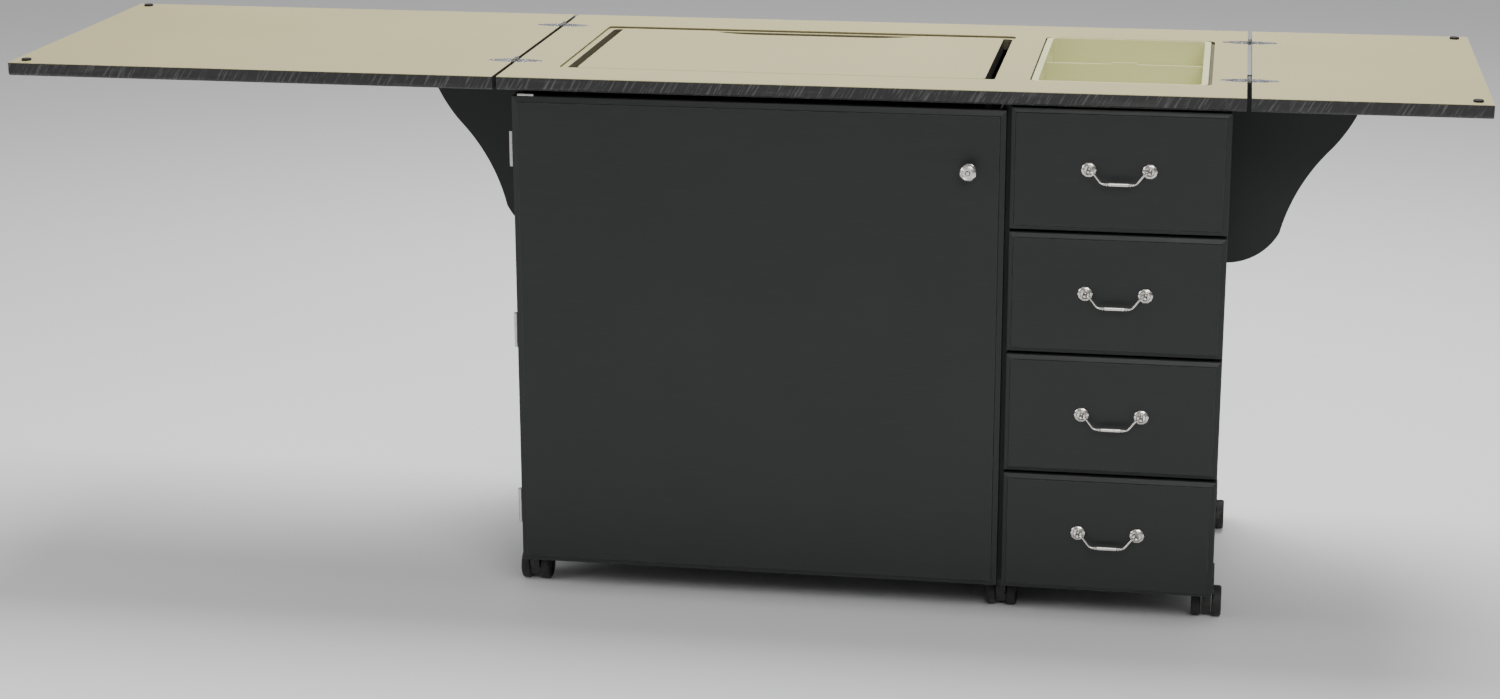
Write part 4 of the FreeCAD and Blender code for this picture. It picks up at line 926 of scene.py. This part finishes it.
def turned_grip(name, centre):
    """The round grip: a long barrel, then a groove, a collar and a bead at each end."""
    bpy.ops.object.select_all(action="DESELECT")
    bpy.ops.mesh.primitive_cylinder_add(vertices=28, radius=0.0030, depth=0.0270, location=centre,
                                        rotation=(0, math.radians(90), 0))
    grip = bpy.context.active_object
    grip.name = name
    bpy.ops.object.transform_apply(location=True, rotation=True, scale=True)
    for way in (-1, 1):
        end = Vector((centre.x + way * 0.0135, centre.y, centre.z))
        open_edit(grip, "FACE", lambda face: face.normal.x * way > 0.9)
        for length, scale in ((0.0003, 0.60), (0.0008, 1.0), (0.0004, 1.50), (0.0010, 1.12),
                              (0.0010, 0.90), (0.0004, 0.62), (0.0012, 1.0), (0.0004, 1.30),
                              (0.0010, 1.0), (0.0004, 0.72)):
            out = (way * length, 0, 0)
            bpy.ops.mesh.extrude_region_move(TRANSFORM_OT_translate={"value": out})
            bpy.ops.transform.resize(value=(1, scale, scale), center_override=end)
        close_edit()
    ease_edges(grip, 0.0002, 2)
    return grip


posts_low, posts_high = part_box("drawer_1_handle_posts")
handle_middle = Vector(((posts_low.x + posts_high.x) / 2, posts_high.y,
                        (posts_low.z + posts_high.z) / 2))
rose_model = rosette("rosette_model", handle_middle)
cup_model = dark_cup("cup_model", handle_middle)
post_model = ball_post("post_model", handle_middle)
bail_axis = handle_middle - Vector((0, bail_reach, 0))
wire_model = wire_bail("wire_model", bail_axis, bail_half, bail_drop)
grip_model = turned_grip("grip_model", bail_axis - Vector((0, 0, bail_drop)))
for number in (1, 2, 3, 4):
    drawer, bail = "drawer_%d" % number, "bail_%d" % number
    front = bordered_front(drawer + "_slab", drawer + "_front", drawer_slope)
    hand_over(front, drawer, "black_panel", [board_across], drawer + "_front")
    for place in nodes[drawer + "_box"].material_slots:
        place.material = pale_wood
    low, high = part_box(drawer + "_handle_posts")
    down = low.z - posts_low.z
    for hand, x in (("left", low.x + rose_radius), ("right", high.x - rose_radius)):
        shift = Vector((x - handle_middle.x, 0, down))
        rose = placed_copy(rose_model, "%s_%s_rosette" % (drawer, hand), shift)
        hand_over(rose, drawer, "nickel", [bright], drawer + "_handle_posts")
        # Each cup is a dark ring of painted shade in its rosette's recess.
        cup = placed_copy(cup_model, "%s_%s_cup" % (drawer, hand), shift)
        hand_over(cup, drawer, "nickel", [painted_recess_shade])
        post = placed_copy(post_model, "%s_%s_post" % (drawer, hand), shift)
        hand_over(post, drawer, "nickel", [bright])
    wire = placed_copy(wire_model, bail + "_wire", (0, 0, down))
    hand_over(wire, bail, "nickel", [bright], drawer + "_bail")
    grip = placed_copy(grip_model, bail + "_grip", (0, 0, down))
    hand_over(grip, bail, "nickel", [bright])
for model in (rose_model, cup_model, post_model, wire_model, grip_model):
    bpy.data.objects.remove(model)

# ---------------------------------------------------------------- machine lift
# The board that carries the machine rides level on four spring-balanced arms of black
# steel.  Its rear edge has a scooped notch for the cables, and its laminate matches the top.
def scoop_tool():
    """A tool with sloping walls that opens the notch, wider and deeper above than below."""
    left, right = platform_low.x + 0.105, platform_high.x - 0.094
    deep, slope = platform_high.y - 0.027, 0.017
    tool = box_piece("scoop", (left, deep, platform_low.z - 0.001),
                     (right, deep + 0.060, platform_high.z + 0.001))
    for vertex in tool.data.vertices:
        way = 1 if vertex.co.x < (left + right) / 2 else -1
        if vertex.co.y < deep + 0.001:
            vertex.co.x += way * 0.042
        if vertex.co.z < platform_low.z:
            vertex.co.y += slope
            vertex.co.x += way * 0.020
    open_edit(tool, "EDGE", lambda edge: abs(edge.verts[0].co.z - edge.verts[1].co.z) > 0.01
              and max(vertex.co.y for vertex in edge.verts) < deep + slope + 0.001)
    bpy.ops.mesh.bevel(offset=0.045, segments=10, affect="EDGES")
    close_edit()
    return tool


skin_low = platform_high.z - SKIN
lift_board = box_piece("lift_platform_board", platform_low,
                       (platform_high.x, platform_high.y, skin_low))
lift_skin = box_piece("lift_platform_laminate",
                      (platform_low.x, platform_low.y, skin_low), platform_high)
for piece in (lift_board, lift_skin):
    round_corners(piece, 0.006, 6)
    take_out(piece, scoop_tool())
ease_edges(lift_board, 0.0006, 2)
ease_edges(lift_skin, 0.0003, 2)


def scooped(face):
    """The sloping wall of the notch is faced; the rest of the board's edge is banded."""
    wall = face.normal.y > 0.2 and 0.2 < face.normal.z < 0.95
    return 1 if wall else 0


hand_over(lift_board, "platform", "laminate_top", [edge_band, beige], "lift_platform")
colour_faces(lift_board, scooped)
hand_over(lift_skin, "platform", "laminate_top", [beige])

coated, tree, shader, spot = new_finish("black_powder_coat", 0.5, specular=0.45)
orange_peel = put(tree, "ShaderNodeTexVoronoi", {"Vector": spot, "Scale": 900.0},
                  feature="SMOOTH_F1")
coat_cloud = noise(tree, spot, 35.0, 4.0)
coat_shade = mixed(tree, coat_cloud.outputs["Fac"],
                   (0.008, 0.008, 0.009, 1), (0.022, 0.022, 0.023, 1))
coat_rubbed = use_group(tree, wear, {"Vector": spot, "Break Up": 200.0})
tree.links.new(mixed(tree, coat_rubbed.outputs["Mask"], coat_shade, (0.22, 0.22, 0.22, 1)),
               shader.inputs["Base Color"])
vary_roughness(tree, shader, coat_cloud.outputs["Fac"], 0.3, 0.7, 0.42, 0.60)
add_bump(tree, shader, orange_peel.outputs["Distance"], 0.0002, 0.5)
lift_parts = (
    ("lift_wall_brackets", "root"),
    ("lift_upper_arms", "lift_upper_arms"),
    ("lift_lower_arms", "lift_lower_arms"),
    ("lift_platform_brackets", "platform"),
)
for node, body in lift_parts:
    steelwork = finished_copy(node, node + "_coated", 0.0004)
    hand_over(steelwork, body, "lift_steel", [coated], node)

# ---------------------------------------------------------------- notions tray
# A lift-out tray moulded in cream plastic: two deep round-cornered compartments and a
# divider with a raised grip, hanging by its side rims on the ledges of the top.
cream, tree, shader, spot = new_finish("cream_moulded_plastic", 0.38, specular=0.5)
flow_lines = noise(tree, spot, 7.0, 3.0)
sand = noise(tree, spot, 1500.0, 2.0)
cream_shade = mixed(tree, flow_lines.outputs["Fac"], (0.54, 0.55, 0.28, 1), (0.62, 0.62, 0.35, 1))
cream_dust = use_group(tree, dust, {"Vector": spot, "Amount": 0.06})
cream_dusty = mixed(tree, cream_dust.outputs["Mask"], cream_shade, (0.42, 0.39, 0.30, 1))
cream_wear = use_group(tree, wear, {"Vector": spot, "Break Up": 60.0})
tree.links.new(mixed(tree, cream_wear.outputs["Mask"], cream_dusty, (0.80, 0.78, 0.62, 1)),
               shader.inputs["Base Color"])
vary_roughness(tree, shader, flow_lines.outputs["Fac"], 0.3, 0.7, 0.34, 0.44)
add_bump(tree, shader, sand.outputs["Fac"], 0.00008, 0.5)
shader.inputs["Subsurface Weight"].default_value = 0.05
shader.inputs["Subsurface Radius"].default_value = (0.004, 0.004, 0.002)
shader.inputs["Subsurface Scale"].default_value = 1.0
basin = finished_copy("notions_tray", "moulded_tray", 0.0009)
hand_over(basin, "tray", "tray_plastic", [cream], "notions_tray")

# ---------------------------------------------------------------- casters
# Six twin-wheel furniture casters in black plastic: dished wheels with soft treads either
# side of a hooded body, which swivels on a bright stem in a screwed black plate.
tread, tree, shader, spot = new_finish("caster_tread", 0.62, specular=0.4)
scuff = noise(tree, spot, 260.0, 6.0, 0.7)
grit = noise(tree, spot, 70.0, 5.0)
tread_shade = mixed(tree, scuff.outputs["Fac"], (0.010, 0.010, 0.010, 1), (0.028, 0.028, 0.028, 1))
tree.links.new(mixed(tree, between(tree, grit.outputs["Fac"], 0.58, 0.75, 0.0, 0.35), tread_shade,
                     (0.16, 0.15, 0.13, 1)), shader.inputs["Base Color"])
add_bump(tree, shader, scuff.outputs["Fac"], 0.0002, 0.6)
wheel_radius, wheel_width, wheel_out = 0.022, 0.014, 0.0145


def dished_wheel(name, centre, way):
    """One wheel of a pair, its hollow hub facing out by way along X."""
    bpy.ops.object.select_all(action="DESELECT")
    bpy.ops.mesh.primitive_cylinder_add(vertices=48, radius=wheel_radius, depth=wheel_width,
                                        location=centre, rotation=(0, math.radians(90), 0))
    wheel = bpy.context.active_object
    wheel.name = name
    bpy.ops.object.transform_apply(location=True, rotation=True, scale=True)
    open_edit(wheel, "FACE", lambda face: face.normal.x * way > 0.9)
    for thick, deep in ((0.0040, -0.0004), (0.0010, -0.0022), (0.0100, -0.0006),
                        (0.0010, 0.0016), (0.0020, 0.0002)):
        bpy.ops.mesh.inset(thickness=thick, depth=deep)
    bpy.ops.mesh.select_mode(type="EDGE")
    pick(wheel, "EDGE", lambda edge: all(
        math.hypot(vertex.co.y - centre.y, vertex.co.z - centre.z) > wheel_radius - 0.0005
        for vertex in edge.verts)
        and abs(edge.verts[0].co.x - edge.verts[1].co.x) < 1e-5)
    bpy.ops.mesh.bevel(offset=0.0036, segments=5, affect="EDGES")
    close_edit()
    ease_edges(wheel, 0.0004, 2)
    return wheel


def wheel_hood(name, middle, front, rear, top):
    """The thin mudguard that arches over the body between the wheels."""
    hood = box_piece(name, (middle - 0.0068, front, 0.0240), (middle + 0.0068, rear, top))
    open_edit(hood, "EDGE", lambda edge: all(vertex.co.z > top - 1e-5 for vertex in edge.verts)
              and abs(edge.verts[0].co.y - edge.verts[1].co.y) < 1e-6)
    bpy.ops.mesh.bevel(offset=0.012, segments=8, affect="EDGES")
    close_edit()
    ease_edges(hood, 0.0008, 2)
    return hood


wheel_low, wheel_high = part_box("caster_front_left_wheels")
first_axle = (wheel_low + wheel_high) / 2
hub_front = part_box("caster_front_left_body")[0].y
wheel_models = [
    (hand, dished_wheel(hand + "_wheel_model", first_axle + Vector((way * wheel_out, 0, 0)), way))
    for hand, way in (("left", -1), ("right", 1))
]
hood_model = wheel_hood("hood_model", first_axle.x, hub_front + 0.0004,
                        first_axle.y + 0.0150, 0.0425)
for row in ("front", "rear"):
    for column in ("left", "middle", "right"):
        caster = "caster_%s_%s" % (row, column)
        low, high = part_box(caster + "_wheels")
        shift = (low + high) / 2 - first_axle
        for hand, model in wheel_models:
            wheel = placed_copy(model, "%s_%s_wheel" % (caster, hand), shift)
            hand_over(wheel, caster + "_wheels", "caster_plastic", [tread], caster + "_wheels")
        hub = finished_copy(caster + "_body", caster + "_swivel_body", 0.0008)
        hand_over(hub, caster, "caster_plastic", [dark_plastic], caster + "_body")
        hood = placed_copy(hood_model, caster + "_hood", shift)
        hand_over(hood, caster, "caster_plastic", [dark_plastic])
for model in (wheel_models[0][1], wheel_models[1][1], hood_model):
    bpy.data.objects.remove(model)
plates = finished_copy("caster_plates", "caster_fixing_plates", 0.0006)
hand_over(plates, "root", "plate_steel", [coated], "caster_plates")
